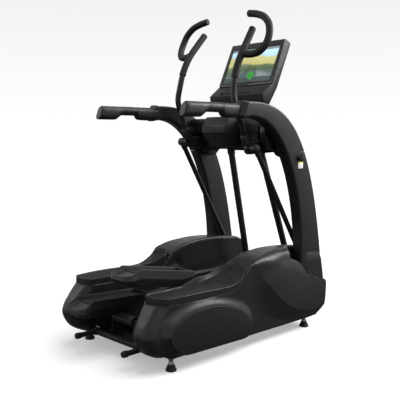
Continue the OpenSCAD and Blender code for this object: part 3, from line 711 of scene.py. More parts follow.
def shell_mesh():
    """Both sides joined across their outline, with holes for the step and the pushrod, and lips round the holes."""
    outline, kinds, verts, shift, faces_out, faces_in, map_out, map_in, creases, creases_in = shell_sides()
    faces = [tuple(f) for f in faces_out]
    faces += [tuple(i + shift for i in reversed(f)) for f in faces_in]
    rows = []
    for i, q in enumerate(outline):
        xo, xi = verts[map_out[i]].x, verts[shift + map_in[i]].x
        ids = []
        for k, x in enumerate(COLUMNS_X):
            x = min(max(x, xi + (k + 1) * 0.4), xo - (4 - k) * 0.4)
            ids.append(len(verts))
            verts.append(Vector((x, q[0], q[1])))
        rows.append([shift + map_in[i]] + ids + [map_out[i]])
    n = len(outline)
    for i in range(n):
        j = (i + 1) % n
        y, z = (outline[i][0] + outline[j][0]) / 2, (outline[i][1] + outline[j][1]) / 2
        for k in range(5):
            if kinds[i] == "seam" and STEP_HOLE[0] < y < STEP_HOLE[1] and k in (1, 2, 3):
                continue
            if kinds[i] == "top" and z > 420 and SLOT_Y[0] < y < SLOT_Y[1] and k == 2:
                continue
            faces.append((rows[i][k], rows[j][k], rows[j][k + 1], rows[i][k + 1]))
    bm = mesh_from(verts, faces)
    bm.verts.ensure_lookup_table()
    for pair in list(creases) + [frozenset(i + shift for i in c) for c in creases_in]:
        a, b = tuple(pair)
        e = bm.edges.get((bm.verts[a], bm.verts[b]))
        if e:
            e.smooth = False
    rim = [e for e in bm.edges if len(e.link_faces) == 1]
    lip = bmesh.ops.extrude_edge_only(bm, edges=rim)
    bmesh.ops.translate(bm, vec=(0, 0, -LIP), verts=[v for v in lip["geom"] if isinstance(v, bmesh.types.BMVert)])
    return bm


PANEL_LOW = 78


def panel_mesh():
    """The plain oval panel on the bulge, cut level with the shell's lower edge."""
    pts = [ellipse_point(PLATEAU, 0.988, 2 * math.pi * k / 140) for k in range(140)]
    above = [q for q in pts if q[1] > PANEL_LOW + 1]
    low = sorted(q[0] for q in pts if q[1] <= PANEL_LOW + 1)
    outline = above + [(low[0] + 1, PANEL_LOW), (low[-1] - 1, PANEL_LOW)]
    outline.sort(key=lambda q: math.atan2(q[1] - PLATEAU[1], q[0] - PLATEAU[0]))
    rings = []
    for x, inset in ((BULGE_X - 5, 0), (BULGE_X + 0.3, 0), (BULGE_X + 1.0, 1.0), (BULGE_X + 1.3, 3.5)):
        ring = []
        for y, z in outline:
            d = Vector((PLATEAU[0] - y, PLATEAU[1] - z)).normalized()
            ring.append((x, y + d.x * inset, z + d.y * inset))
        rings.append(ring)
    return loft(rings)


shell = shell_mesh()
for side in SIDES:
    piece(f"side_shell_{side}_moulding", shell.copy(), f"side_shell_{side}", "shell_plastic", BASE[side], sharp=50)
    piece(f"bulge_panel_{side}", panel_mesh(), f"side_panel_{side}", "shell_plastic", BASE[side])
    screw = [(SHELL_OUT - 9, 6), (SHELL_OUT - 2, 6), (SHELL_OUT - 1, 5.2), (SHELL_OUT - 1, 3.4),
             (SHELL_OUT - 4, 3.0), (SHELL_OUT - 4, 0)]
    piece(f"shell_screw_{side}", lathe(screw, (0, 57, 96), "x", 20), (), "dark_rubber", BASE[side])
shell.free()

# ---------- step covers ----------

COVER_IN, COVER_FRONT, COVER_REAR = 215.5, 60.0, -516.0
RIM_OUT = [(-520, 350), (-489, 350), (-291, 351), (-123, 347), (-52, 353), (7, 379), (36, 410), (62, 428)]
RIM_IN = [(-520, 350), (-300, 350), (-271, 352), (-218, 367), (-164, 380), (-122, 381), (-80, 385), (-37, 400),
          (7, 415), (62, 424)]
STEP_FLOOR = 341.2


def cover_outline():
    """Plan outline of the cover, flush with the shell below it."""
    def outer(y):
        return min(side_height(y, 322) - 0.8, nose_height(y - COVER_REAR, 319) - 0.8)

    def inner(y):
        return COVER_IN + round_drop(y - COVER_REAR, 40.0)

    turn = -14.0
    x0, x1 = COVER_IN, outer(turn)
    mid, half = (x0 + x1) / 2, (x1 - x0) / 2
    pts = [(mid + half * math.cos(a), turn + (COVER_FRONT - turn) * math.sin(a))
           for a in [math.pi * k / 32 for k in range(33)]]
    pts += [(inner(y), y) for y in [turn - 11 * k for k in range(1, 37)]]
    nose_in = [0.0, 0.5, 1.6, 3.6, 6.5, 10.5, 16, 23, 31, 40, 56]
    pts += [(inner(COVER_REAR + d), COVER_REAR + d) for d in reversed(nose_in)]
    nose_out = [0.0, 0.8, 2.6, 5.5, 9.5, 15, 22, 29, 37, 46, 56, 66]
    pts += [(outer(COVER_REAR + d), COVER_REAR + d) for d in nose_out]
    pts += [(outer(y), y) for y in [-440 + 11.2 * k for k in range(38)]]
    return pts


def shrink(outline, by):
    """The outline moved inwards by a small distance."""
    n = len(outline)
    out = []
    for i in range(n):
        a, q, b = Vector(outline[i - 1]), Vector(outline[i]), Vector(outline[(i + 1) % n])
        u, v = (q - a).normalized(), (b - q).normalized()
        na, nb = Vector((-u.y, u.x)), Vector((-v.y, v.x))
        m = (na + nb).normalized()
        out.append(tuple(q + m * by / max(0.5, m.dot(na))))
    return out


def rim_height(x, y):
    f = ease(COVER_IN, 376, x)
    return smooth_table(RIM_IN, y) * (1 - f) + smooth_table(RIM_OUT, y) * f


def cup_height(x, y, d):
    """The step's floor, turning up into a steep wall at the rim, with a wide fillet in front."""
    cup = ease(-190, -60, y)
    rim = rim_height(x, y) - 1.2
    floor = STEP_FLOOR + 5 * cup
    width = 3.0 + 33 * cup
    t = min(1.0, d / width)
    return floor + max(0.0, rim - floor) * (1 - t) ** (1.2 + 1.1 * cup)


def floored(walls, rim, spacing, steps, level):
    """Closes the bowl inside its last ring. level(x, y, distance from the rim) is the floor's height."""
    edge = [(x, y) for x, y, z in rim]
    plan, faces, found, _ = patch(edge, [], spacing, lambda i: steps)
    verts = [Vector((x, y, level(x, y, d))) for (x, y), d in zip(plan, reach_to(plan, edge))]
    for i, j in found.items():
        verts[j].z = rim[i][2]
    return merge(walls, mesh_from(verts, [tuple(f) for f in faces]))


def step_cover():
    """The cover's walls, rim and floor, and the dark gasket in its seam."""
    outline = cover_outline()
    rings = []
    for inset, kind, lift in ((5, "seam", -3), (5, "seam", 1.6), (0.5, "seam", 2.2), (0.0, "seam", 3.0),
                              (0.0, "rim", -1.5), (0.9, "rim", -0.2), (1.6, "rim", 0.0), (2.6, "rim", 0.0),
                              (3.4, "rim", -0.3), (3.8, "rim", -1.2)):
        ring = []
        for (x, y), (bx, by) in zip(shrink(outline, inset), outline):
            seam, rim = smooth_table(SEAM, by), rim_height(bx, by)
            ring.append((x, y, min(seam + lift, rim - 5 + lift) if kind == "seam" else max(rim + lift, seam + 3.2)))
        rings.append(ring)
    gasket = [[(x, y, smooth_table(SEAM, by) + lift) for (x, y), (_, by) in zip(shrink(outline, 0.8), outline)]
              for lift in (-2.5, 3.6)]
    bm = loft(rings, end_cap=False)
    crease = min(range(len(outline)), key=lambda j: abs(outline[j][1] - COVER_REAR - 37) + (outline[j][0] < 300) * 99)
    bm.normal_update()
    for e in bm.edges:
        if sharper(e, 27):
            e.smooth = False
    bm.verts.ensure_lookup_table()
    for k in range(2, 6):
        e = bm.edges.get([bm.verts[k * len(outline) + crease], bm.verts[(k + 1) * len(outline) + crease]])
        if e:
            e.smooth = False
    return floored(bm, rings[-1], 7.0, (1.5, 3.5, 7, 12, 18, 25, 33), cup_height), loft(gasket)


PITCH, DASH = (11.5, 12.5), (8.5, 3.4)
DASH_ALONG, DASH_ACROSS = Vector((-0.515, 0.857)), Vector((0.857, 0.515))


def tread(outline, lows, highs, base, thick):
    """A rubber mat studded with short slanted bars. base(x, y) is the height under it."""
    mat = bevel(prism(outline, 0, thick, "z"), 0.8, 2)
    for v in mat.verts:
        v.co.z += base(v.co.x, v.co.y)
    rows, columns = [int((highs[k] - lows[k]) / PITCH[k]) for k in (1, 0)]
    spots = [(lows[0] + (j + 0.5 + (0.25 if i % 2 else -0.25)) * PITCH[0], lows[1] + (i + 0.5) * PITCH[1])
             for i in range(rows) for j in range(columns)]
    verts, faces = [], []
    for (x, y), ok, gap in zip(spots, inside(spots, outline), reach_to(spots, outline)):
        if not ok or gap < 5.0 + DASH[0] / 2:
            continue
        start = len(verts)
        for grow, z in ((0.0, thick - 0.3), (-0.7, thick + 1.1)):
            for a, b in ((1, 1), (-1, 1), (-1, -1), (1, -1)):
                q = Vector((x, y)) + DASH_ALONG * a * (DASH[0] / 2 + grow) + DASH_ACROSS * b * (DASH[1] / 2 + grow)
                verts.append((q.x, q.y, z + base(q.x, q.y)))
        faces += [(start + k, start + (k + 1) % 4, start + 4 + (k + 1) % 4, start + 4 + k) for k in range(4)]
        faces.append((start + 4, start + 5, start + 6, start + 7))
    return merge(mat, mesh_from(verts, faces))


for side in SIDES:
    bowl, gasket = step_cover()
    piece(f"step_gasket_{side}", gasket, (), "dark_rubber", BASE[side], sharp=40)
    piece(f"step_cover_{side}_bowl", bowl, f"step_cover_{side}", "cover_plastic", BASE[side], sharp=58)
    plan = [q for q in shrink(cover_outline(), 7.5) if q[1] < -84]
    mat = tread(plan, (226, -510), (366, -84), lambda x, y: STEP_FLOOR - 0.3, 3.4)
    piece(f"step_tread_{side}", mat, f"step_mat_{side}", "dark_rubber", BASE[side])

# ---------- towers and handrails ----------

TOWER_X, TOWER_HALF, PARTING_Z = 341.0, 34, 992.9


def bez(p, t):
    u = 1 - t
    return [u ** 3 * p[0][i] + 3 * u * u * t * p[1][i] + 3 * u * t * t * p[2][i] + t ** 3 * p[3][i] for i in (0, 1)]


ARCH_OUT = [(656, 430), (560, 1038), (399, 1268), (45, 1248)]
ARCH_IN = [(479, 457), (462, 877), (271, 1225), (10, 1162)]


def arch(t0, t1, steps, foot=False):
    """The tower's rounded section swept from t0 to t1 of its curves, narrowing into the handrail at its end."""
    ends = [t0 + (t1 - t0) * k / steps for k in range(steps + 1)]
    spans = [(bez(ARCH_OUT, t), bez(ARCH_IN, t)) for t in ends]
    if foot:
        spans.insert(0, ((664, 330), (481, 330)))
    rings = []
    for out, inner in spans:
        o, i = Vector((0, out[0], out[1])), Vector((0, inner[0], inner[1]))
        depth = (o - i).length
        u = (o - i) / depth
        c = (o + i) / 2
        w, h = TOWER_HALF, depth / 2
        outline = rounded([(-w, -h), (w, -h), (w, h), (-w, h)], [17, 17, 13, 13], 6)
        rings.append([(TOWER_X + a, *(c + u * b)[1:3]) for a, b in outline])
    if t1 == 1.0:
        for push, narrow, shift in ((6, 0.97, 0.5), (16, 0.86, 5), (25, 0.74, 10), (26, 0.70, 11)):
            mouth = c + Vector((0, -u.z, u.y)) * push
            rings.append([(TOWER_X - shift + a * narrow, *(mouth + u * b * (0.5 + narrow / 2))[1:3])
                          for a, b in outline])
    return loft(rings)


def cut_at(bm, co, no):
    """Cuts off what lies beyond the plane on the side of its normal, and closes the cut."""
    geom = bm.verts[:] + bm.edges[:] + bm.faces[:]
    done = bmesh.ops.bisect_plane(bm, geom=geom, plane_co=co, plane_no=no, clear_outer=True)
    rim = [e for e in done["geom_cut"] if isinstance(e, bmesh.types.BMEdge)]
    bmesh.ops.holes_fill(bm, edges=rim, sides=0)
    return bm


def stadium(w, top, bottom, n=9):
    """Upright slot shape about x = 0: half circles of width w between bottom and top."""
    r = w / 2
    turns = [math.pi * k / n for k in range(n + 1)]
    pts = [(r * math.cos(a), top - r + r * math.sin(a)) for a in turns]
    return pts + [(-r * math.cos(a), bottom + r - r * math.sin(a)) for a in turns]


RAIL_X, RAIL_TOP, RAIL_LOW, NECK_LOW, RAIL_WIDTH = 328.0, 1237.0, 1165.0, 1190.0, 45.0


def rail_rings(stations):
    """A length of the rail through rings of (y, width, top, bottom, slant)."""
    return loft([[(RAIL_X + a, y + 0.37 * (z - 1201) * slant, z) for a, z in stadium(w, top, bottom)]
                 for y, w, top, bottom, slant in stations])


def rail_body():
    """The handrail, slimmer and higher where its grip sits."""
    stations = []
    for y in [-336, -330, -300, -270, -252, -246, -240, -234, -226, -216, -206, -180, -150, -132, -124, -118, -114,
              -111, -109, -107, -106, -100, -60, -20, 6, 18, 30]:
        bottom = smooth_table([(-400, RAIL_LOW), (-256, RAIL_LOW), (-250, RAIL_LOW + 1.5), (-218, 1187),
                               (-208, NECK_LOW), (-126, NECK_LOW), (-114, 1187), (-108, 1176), (-104, 1170.5),
                               (-98, 1167), (-88, RAIL_LOW)], y)
        w = RAIL_WIDTH - 4 * ease(-250, -214, y) * (1 - ease(-118, -104, y))
        stations.append((y, w, RAIL_TOP, bottom, 1.0 if y < -300 or y > 0 else 0.0))
    return rail_rings(stations)


def rail_cap():
    return rail_rings([(-337.5 + dy, RAIL_WIDTH - 2 * inset, RAIL_TOP - inset, RAIL_LOW + inset, 1.0)
                       for dy, inset in ((0, 3), (0, 0), (-12, 0), (-15, 1.5), (-17, 5), (-17.5, 10))])


def rail_grip():
    return rail_rings([(y, 41 + 2 * grow, RAIL_TOP + grow, NECK_LOW - grow, 0.0) for y, grow in (
        (-204, -1), (-203.4, 0.3), (-202, 0.5), (-134, 0.5), (-132.6, 0.3), (-132, -1))])


def boot():
    """Collar round the foot of the tower, standing behind the shell's proud edge."""
    rings = []
    for z, rear_y, front_y, inset in ((252, 489, 690, 0), (350, 491, 671, 0), (388, 496, 664, 0), (412, 501, 657, 0),
                                      (434, 504, 653, 6.5), (436, 504.5, 652, 9)):
        plan = [(302.5 + inset, rear_y + inset), (383 - inset, rear_y + inset), (383 - inset, front_y - inset),
                (302.5 + inset, front_y - inset)]
        fall = 0.1 * ease(350, 412, z)
        rings.append([(x, y, z - fall * (y - 560)) for x, y in rounded(plan, [5, 32, 20, 5], 7)])
    return loft(rings)


for side in SIDES:
    post = cut_at(arch(0, 0.7, 44, foot=True), (0, 0, PARTING_Z - 0.7), (0, 0, 1))
    piece(f"tower_{side}_post", post, f"tower_{side}", "cover_plastic", BASE[side], sharp=40)
    upper = cut_at(arch(0.3, 1.0, 56), (0, 0, PARTING_Z + 0.7), (0, 0, -1))
    piece(f"tower_cap_{side}_arch", upper, f"tower_cap_{side}", "cover_plastic", BASE[side], sharp=40)
    piece(f"handrail_{side}_body", rail_body(), f"handrail_{side}", "cover_plastic", BASE[side], sharp=45)
    piece(f"rail_end_cap_{side}", rail_cap(), "rail_end_caps", "cover_plastic", BASE[side], sharp=45)
    piece(f"rail_grip_{side}", rail_grip(), "rail_grips", "grip_foam", BASE[side], mat=GRIP_SKIN, sharp=45)
    piece(f"tower_boot_{side}", boot(), "tower_boots", "shell_plastic", BASE[side], sharp=30)

# ---------- knobs ----------

KNOB = Vector((375.1, 448, 962))


def knob():
    """A grip with ten lobes and a bar across it."""
    turns = [2 * math.pi * k / 60 for k in range(60)]
    grip = [(KNOB.y + (15.5 + 1.5 * math.cos(10 * a)) * math.cos(a),
             KNOB.z + (15.5 + 1.5 * math.cos(10 * a)) * math.sin(a)) for a in turns]
    head = bevel(prism(grip, KNOB.x + 6, KNOB.x + 17), 1.6, 3, 40)
    bar = box((KNOB.x + 9, KNOB.y - 3.5, KNOB.z - 20), (KNOB.x + 19.5, KNOB.y + 3.5, KNOB.z + 20), 2)
    return merge(head, bar)


for side in SIDES:
    piece(f"cap_knob_{side}_handle", knob(), f"cap_knob_{side}", "console_plastic", BASE[side], body=f"knob_{side}")
    stem = lathe([(KNOB.x - 4, 9), (KNOB.x + 1, 9), (KNOB.x + 1.4, 12.5), (KNOB.x + 4.6, 12.5),
                  (KNOB.x + 5.2, 11.6), (KNOB.x + 6.2, 9)], (0, KNOB.y, KNOB.z), "x", 36)
    piece(f"knob_collar_{side}", stem, (), "bright_steel", BASE[side])

# ---------- head ----------


def head_cover():
    bm = slab([(172, 1094), (170, 1134), (200, 1184), (289.5, 1184), (289.5, 1014), (238, 1016)],
              [5, 5, 8, 2, 2, 22], -88, 88, 3.5, 5, segments=3)
    for v in bm.verts:
        if v.co.z < 1094:
            v.co.x *= 1 - 0.1 * ease(1094, 1015, v.co.z)
    return bm

piece("head_cover_shell", head_cover(), "head_cover", "cover_plastic", sharp=40)
ridge = bevel(prism([(170.5, 1093), (165.5, 1095), (166, 1134), (171, 1136)], -86, 86), 1.5, 2)
piece("head_cover_band", ridge, (), "cover_plastic")


def wing():
    """Casting from the centre cover to the tower, with two oval vents, a skirt below and a cowl behind."""
    bm = slab([(286, 1096), (284, 1150), (298, 1180), (400, 1180), (402, 1100)], [6, 10, 14, 8, 6], 86, 306, 2.5)
    skirt = slab([(291, 1104), (296, 1048), (312, 1016), (350, 1012), (362, 1104)], [3, 14, 14, 10, 3], 84, 211, 2.5)
    cowl = prism([(398, 1108), (442, 1103), (474, 1072), (481, 1026), (485, 1027), (478, 1075), (445, 1108),
                  (400, 1113)], 90, 262)
    bm = boolean(bm, skirt, "UNION")
    for x, z0 in ((118, 1122), (226, 1112)):
        bm = boolean(bm, prism([(x + a, z0 + b) for a, b in stadium(13, 20, -20, 8)], 270, 296, "y"))
    return merge(bm, cowl)


saddle = slab([(385, 1102), (378, 1027), (396, 997), (444, 997), (462, 1027), (462, 1140), (403, 1160)], 8,
              -84, 84, 3)
piece("crossbeam_casting", merge(wing(), moved(wing(), MIRROR), saddle), "crossbeam", "frame_steel", sharp=38)


def housing():
    disc = lathe([(258, 44), (258.5, 62), (260, 69), (264, 73), (278, 73), (283, 69), (288, 60), (290, 50),
                  (306, 48)], (0, HEAD.y, HEAD.z), "x", 64)
    disc = cut_at(disc, (0, 0, 1098), (0, 0, 1))
    gusset = slab([(352, 1042), (358, 1108), (400, 1130), (432, 1130), (462, 1058)], 12, 266, 306, 3)
    return merge(disc, gusset)


for side in SIDES:
    piece(f"shaft_housing_{side}", housing(), "shaft_housings", "arm_steel", BASE[side], sharp=38)
    guard = slab([(252, 1132), (238, 1100), (264, 1018), (322, 1000), (352, 1040), (352, 1118)],
                 [10, 14, 16, 14, 20, 10], 268, 302, 2.5)
    vent = moved(prism(stadium(19, 38, -38, 8), 262, 292), Matrix.Translation((0, 283, 1066)) @ rot_x(40))
    piece(f"bearing_guard_{side}", boolean(guard, vent), (), "arm_steel", BASE[side], sharp=38)

# ---------- console ----------

BEZEL_LOW = Vector((0, 406, 1346))
LEAN = math.radians(25)
FACE_UP = Vector((0, math.sin(LEAN), math.cos(LEAN)))
FACE_OUT = Vector((0, -math.cos(LEAN), math.sin(LEAN)))


def on_face(u, w):
    """(y, z) of the point u up the console's face and w into it."""
    p = BEZEL_LOW + FACE_UP * u - FACE_OUT * w
    return (p.y, p.z)


def face_plate(x0, x1, u0, u1, w0, w1, corner=6.0, edge=0.8):
    """A plate lying on the console's face: x and u run over it, w goes into it."""
    outline = rounded([(x0, u0), (x1, u0), (x1, u1), (x0, u1)], corner, 5)
    bm = prism(outline, w0, w1, "z")
    if edge:
        bevel(bm, edge, 2, 40)
    for v in bm.verts:
        v.co = (v.co.x, *on_face(v.co.y, v.co.z))
    return bm


def console_shell():
    outline = [(340, 1307), (347, 1262), (399, 1252), on_face(20, 52), on_face(296, 52), on_face(300, 46),
               on_face(300, 6.3), on_face(24, 6.3), on_face(22, 3.0)]
    bm = bevel(prism(outline, -202, 202), 4.5, 3, 20)
    bm = boolean(bm, box((-132, 348, 1262), (98, 366, 1400)))
    for x, z in ((-118, 1290), (-8, 1288), (120, 1288)):
        bm = boolean(bm, lathe([(330, 3.2), (356, 3.2)], (x, 0, z - 12), "y", 16))
    return bm


def bezel():
    plate = face_plate(-202, 202, 24, 300, 0, 6, 7, 1.6)
    hole = face_plate(-177.5, 177.5, 43.5, 260.5, -3, 12, 2, 0)
    return boolean(plate, hole)

piece("console_housing", console_shell(), "console_shell", "console_plastic", sharp=30)
piece("console_bezel_frame", bezel(), "console_bezel", "bezel_gloss", sharp=30)


def screen_material():
    """A lit display showing a plain made-up landscape: sky, far hills, meadow and a pale path."""
    mat, tree, shader = shaded("screen_picture")
    wave = add(tree, "TexNoise", Vector=coordinates(tree), Scale=9.0)
    height = remap(tree, arithmetic(tree, "MULTIPLY_ADD", wave, 0.09, coordinate(tree, "Z")), 0.0, 1.0, (1.42, 1.66))
    picture = ramp(tree, height, [
        (0.0, (0.07, 0.10, 0.11)), (0.26, (0.09, 0.13, 0.12)), (0.34, (0.06, 0.10, 0.05)),
        (0.46, (0.12, 0.17, 0.08)), (0.5, (0.50, 0.47, 0.17)), (0.66, (0.55, 0.53, 0.24)),
        (0.7, (0.42, 0.66, 0.78)), (1.0, (0.62, 0.84, 0.95))])
    feed(tree, shader, Roughness=0.12, Emission_Strength=0.42, Base_Color=picture, Emission_Color=picture)
    return mat


def glow(name, colour, strength):
    """A plain lit area of the screen."""
    mat, tree, shader = shaded(name)
    shades = [(0.0, [c * 0.9 for c in colour]), (1.0, [min(1, c * 1.1) for c in colour])]
    tint = ramp(tree, add(tree, "TexNoise", Vector=coordinates(tree), Scale=60), shades)
    feed(tree, shader, Base_Color=tint, Emission_Color=tint, Emission_Strength=strength, Roughness=0.2)
    return mat

piece("screen_picture", face_plate(-177, 177, 44, 260, 2, 13, 2, 0.5), "screen_panel", "screen_glass",
      mat=screen_material())
bar = glow("screen_bar_grey", (0.05, 0.065, 0.07), 0.4)
piece("screen_bar_low", face_plate(-176, 176, 45, 74, 1.4, 2.4, 1, 0), (), "screen_glass", mat=bar)
piece("screen_bar_top", face_plate(-176, 176, 246, 259, 1.4, 2.4, 1, 0), (), "screen_glass",
      mat=glow("screen_bar_pale", (0.20, 0.26, 0.29), 0.4))
button = lathe([(0, 25), (1.2, 25), (1.8, 23)], (0, 0, 0), "z", 40)
for v in button.verts:
    p = BEZEL_LOW + FACE_UP * (v.co.y + 84) + FACE_OUT * (v.co.z - 1.4)
    v.co = Vector((v.co.x + 22, p.y, p.z))
piece("screen_button", button, (), "screen_glass", mat=glow("screen_green", (0.02, 0.24, 0.02), 0.5))

# ---------- mast ----------

mast = [(330, 1176), (402, 1176), (414, 1252), (474, 1372), (440, 1372), (404, 1300), (352, 1256)]
piece("console_mast_cover", slab(mast, 6, -46, 46, 5, 3, segments=3), "console_mast", "console_plastic", sharp=38)

# ---------- swing arms and handles ----------

ROD_PIN = PIVOT["right_rod_hinge"].yz
HANDLE = [(234, 186, 1036), (236, 140, 1130), (237, 87, 1236), (229, 84, 1300), (228, 91, 1367),
          (229, 109, 1434), (231, 139, 1497), (230, 183, 1567), (228, 229, 1638)]
LOOP = [(231, 139, 1497), (275, 148, 1492), (330, 158, 1500), (359, 176, 1535), (367, 195, 1590),
        (352, 206, 1645), (318, 211, 1680), (270, 216, 1700), (206, 221, 1713)]


def link_plate(a, ra, b, rb, x0, x1, n):
    """A plate round two circles, its outline running along both."""
    a, b = Vector(a), Vector(b)
    d = (b - a).normalized()
    base = math.atan2(d.y, d.x)
    outline = []
    for c, r, start in ((a, ra, base + math.pi / 2), (b, rb, base - math.pi / 2)):
        turns = [start + math.pi * k / n for k in range(n + 1)]
        outline += [(c.x + r * math.cos(t), c.y + r * math.sin(t)) for t in turns]
    return bevel(prism(outline, x0, x1), 3, 3, 50)


def rocker():
    """Hub and rocker plate, with the pin that carries the pushrod."""
    hub = lathe([(92, 27), (92, 32), (94, 34), (221, 34), (221, 40), (223, 45), (246, 45), (248, 43), (250, 36),
                 (252, 34), (252, 27)], HEAD, "x", 48)
    return merge(hub, link_plate(ROD_PIN, 29, HEAD.yz, 45, 222, 246, 16), rod(12, 240, 292, ROD_PIN, 2))


def hanger():
    """The tube down to the foot beam, with its collar and its eye."""
    lean = math.radians(HANGER_LEAN)
    down = Vector((0, math.sin(lean), -math.cos(lean)))
    top = Vector((HANGER_X, HEAD.y, HEAD.z))
    pipe = tube([top + down * t for t in (20, 60, 120, 300, 500, 690, 722)], 19, 36, 2)
    collar = tube([top + down * t for t in (30, 34, 60, 64)], 23, 36, 2)
    eye = lathe([(91, 20), (91.5, 21.5), (93, 22), (131, 22), (132.5, 21.5), (133, 20)], PIVOT["right_lift"], "x", 40)
    return merge(pipe, collar, eye)


handle_curve = curve_through(HANDLE, 9)
loop_curve = curve_through(LOOP, 9)
GRIP_R = 18.5
grip_from = min(range(len(handle_curve)), key=lambda i: abs(handle_curve[i].z - 1372))


def handle_foam():
    """The straight grip's sleeve, with a raised ring at its lower end."""
    path = handle_curve[grip_from:]
    d = (path[1] - path[0]).normalized()
    ring = tube([path[0] + d * t for t in (-3, 1, 4, 7)], GRIP_R + 1.2, 32, 2)
    return merge(tube(path, GRIP_R, 32, 5), ring)


for side in SIDES:
    arm = ARM[side]
    body = f"arm_{side}"
    piece(f"swing_arm_{side}_rocker", rocker(), f"swing_arm_{side}", "arm_steel", arm, sharp=35, body=body)
    piece(f"hanger_tube_{side}", hanger(), f"swing_arm_{side}", "arm_steel", arm, sharp=35, body=body)
    piece(f"handle_tube_{side}_steel", tube(handle_curve[:grip_from + 3], 15.9, 32, 2), f"handle_tube_{side}",
          "arm_steel", arm, sharp=35, body=body)
    clamp = link_plate((186, 1036), 19.5, (168, 1070), 17.6, 214, 250, 12)
    piece(f"handle_socket_{side}", clamp, f"handle_tube_{side}", "arm_steel", arm, sharp=35, body=body)
    piece(f"handle_grip_{side}_foam", handle_foam(), f"handle_grip_{side}", "grip_foam", arm, sharp=35, body=body)
    piece(f"loop_grip_{side}_foam", tube(loop_curve, GRIP_R, 32, 5, (0, 1, 0)), f"loop_grip_{side}", "grip_foam", arm,
          sharp=35, body=body)
    big_end = lathe([(252, 16), (252, 21), (253.5, 22.5), (256, 23), (262, 23), (262.6, 22), (264.4, 22), (265, 23),
                     (291, 23), (297, 21.5), (301, 17), (303, 9), (303.4, 0)], (0, 0, 0), "x", 44)
    pipe = tube([(284, 0, -z) for z in (10, 40, 200, 400, 600, 700, 734)], 14, 32, 2)
    neck = tube([(284, 0, -z) for z in (14, 24, 36, 44)], 16.5, 32, 2.5)
    low_eye = lathe([(271, 14.5), (272, 16), (296, 16), (297, 14.5)], (0, 0, -740), "x", 32)
    piece(f"pushrod_{side}_tube", merge(big_end, pipe, neck, low_eye), f"pushrod_{side}", "arm_steel", ROD[side],
          sharp=35, body=f"rod_{side}")

# ---------- foot beams and trays ----------

BEAM_LINE = [(-60, 1), (-820, 5), (-1080, 22)]


def foot_beam():
    """The beam, its two cheeks at the yoke, the block between them and the plug at its rear end."""
    def bar(line, w, h, corner):
        outline = rounded([(-w, -h), (w, -h), (w, h), (-w, h)], corner, 4)
        return loft([[(HANGER_X + a, y, z + b) for a, b in outline] for y, z in line])

    cheek = [(20 * math.cos(a), 20 * math.sin(a)) for a in [math.radians(70 - 10 * i) for i in range(0, 15)]]
    cheek += [(-20, -19), (-86, -15), (-92, -12), (-92, 14), (-86, 17), (-20, 20)]
    parts = [bar(BEAM_LINE, 20, 15, 5)]
    for x in (HANGER_X - 41, HANGER_X + 33):
        parts.append(bevel(prism(cheek, x, x + 8), 1.5, 2, 40))
    parts.append(box((HANGER_X - 40, -92, -14), (HANGER_X + 40, -62, 16), 3))
    parts.append(bar([(-1076, 22), (-1083, 22)], 17, 12, 4))
    return merge(*parts)


def yoke():
    """Two cheeks beside the hanger's eye, and the pin through them with a nut at each end."""
    parts = []
    for x, nut in ((HANGER_X - 31, HANGER_X - 47), (HANGER_X + 22.5, HANGER_X + 41.5)):
        parts.append(lathe([(x, 19.5), (x + 1, 21), (x + 7.5, 21), (x + 8.5, 19.5)], (0, 0, 0), "x", 40))
        parts.append(hexagon((0, 0), 8.5, nut, nut + 5.5, 1))
    return merge(*parts, rod(9.8, HANGER_X - 45, HANGER_X + 45, (0, 0), 1))


TRAY_X = (31.0, 187.0)
TRAY_TOP = [(-1264, 77), (-1224, 83), (-1214, 86), (-1178, 102), (-1172, 102), (-828, 45.5), (-820, 44)]
TRAY_LOW = [(-1264, 36), (-1180, 21), (-1060, 1), (-960, -18), (-900, -21), (-860, -9), (-828, 11), (-820, 16)]
TRAY_FLOOR = [(-1264, 64), (-1225, 70), (-1178, 80), (-820, 22)]


def tray_outline():
    """Plan of a tray: flat rear face, turned corners, straight sides."""
    x0, x1 = TRAY_X
    mid = (x0 + x1) / 2

    def corner(p0, p1, p2, n):
        return [tuple((1 - t) ** 2 * Vector(p0) + 2 * t * (1 - t) * Vector(p1) + t * t * Vector(p2))
                for t in [k / n for k in range(n + 1)]]

    half = corner((x1, -838), (x1, -822), (x1 - 16, -822), 5)[::-1]
    side = [(x1, y) for y in (-860, -880, -900, -930, -960, -1000, -1060, -1120, -1168, -1172, -1178, -1187, -1196,
                              -1205, -1214, -1219, -1224, -1228)]
    rear = corner((x1, -1232), (x1 - 6, -1252), (x1 - 36, -1262), 7)
    right = half + side + rear + [(x1 - 52, -1262)]
    left = [(2 * mid - x, y) for x, y in reversed(right)]
    return (right + left)[::-1]


def tray():
    outline = tray_outline()
    rings = []
    levels = [(34, "low", -1.5), (17, "low", -0.5), (12, "low", 1.0), (10, "low", 3.5), (0.3, "mid", -0.8),
              (0.0, "mid", 0.4), (4.6, "top", -1.2), (5.1, "top", -0.3), (5.8, "top", 0), (7.6, "top", 0),
              (8.3, "top", -0.3), (8.7, "top", -1.2), (12.0, "floor", 2.2), (13.5, "floor", 0.6), (16, "floor", 0)]
    for inset, kind, lift in levels:
        ring = []
        for (x, y), (bx, by) in zip(shrink(outline, inset), outline):
            top, low, floor = along(TRAY_TOP, by), smooth_table(TRAY_LOW, by), along(TRAY_FLOOR, by)
            z = {"low": low, "mid": low + (top - low) * 0.48, "top": top, "floor": min(floor, top - 6)}[kind] + lift
            ring.append((x, y, z))
        rings.append(ring)
    return floored(loft(rings, end_cap=False), rings[-1], 14.0, (), lambda x, y, d: along(TRAY_FLOOR, y))


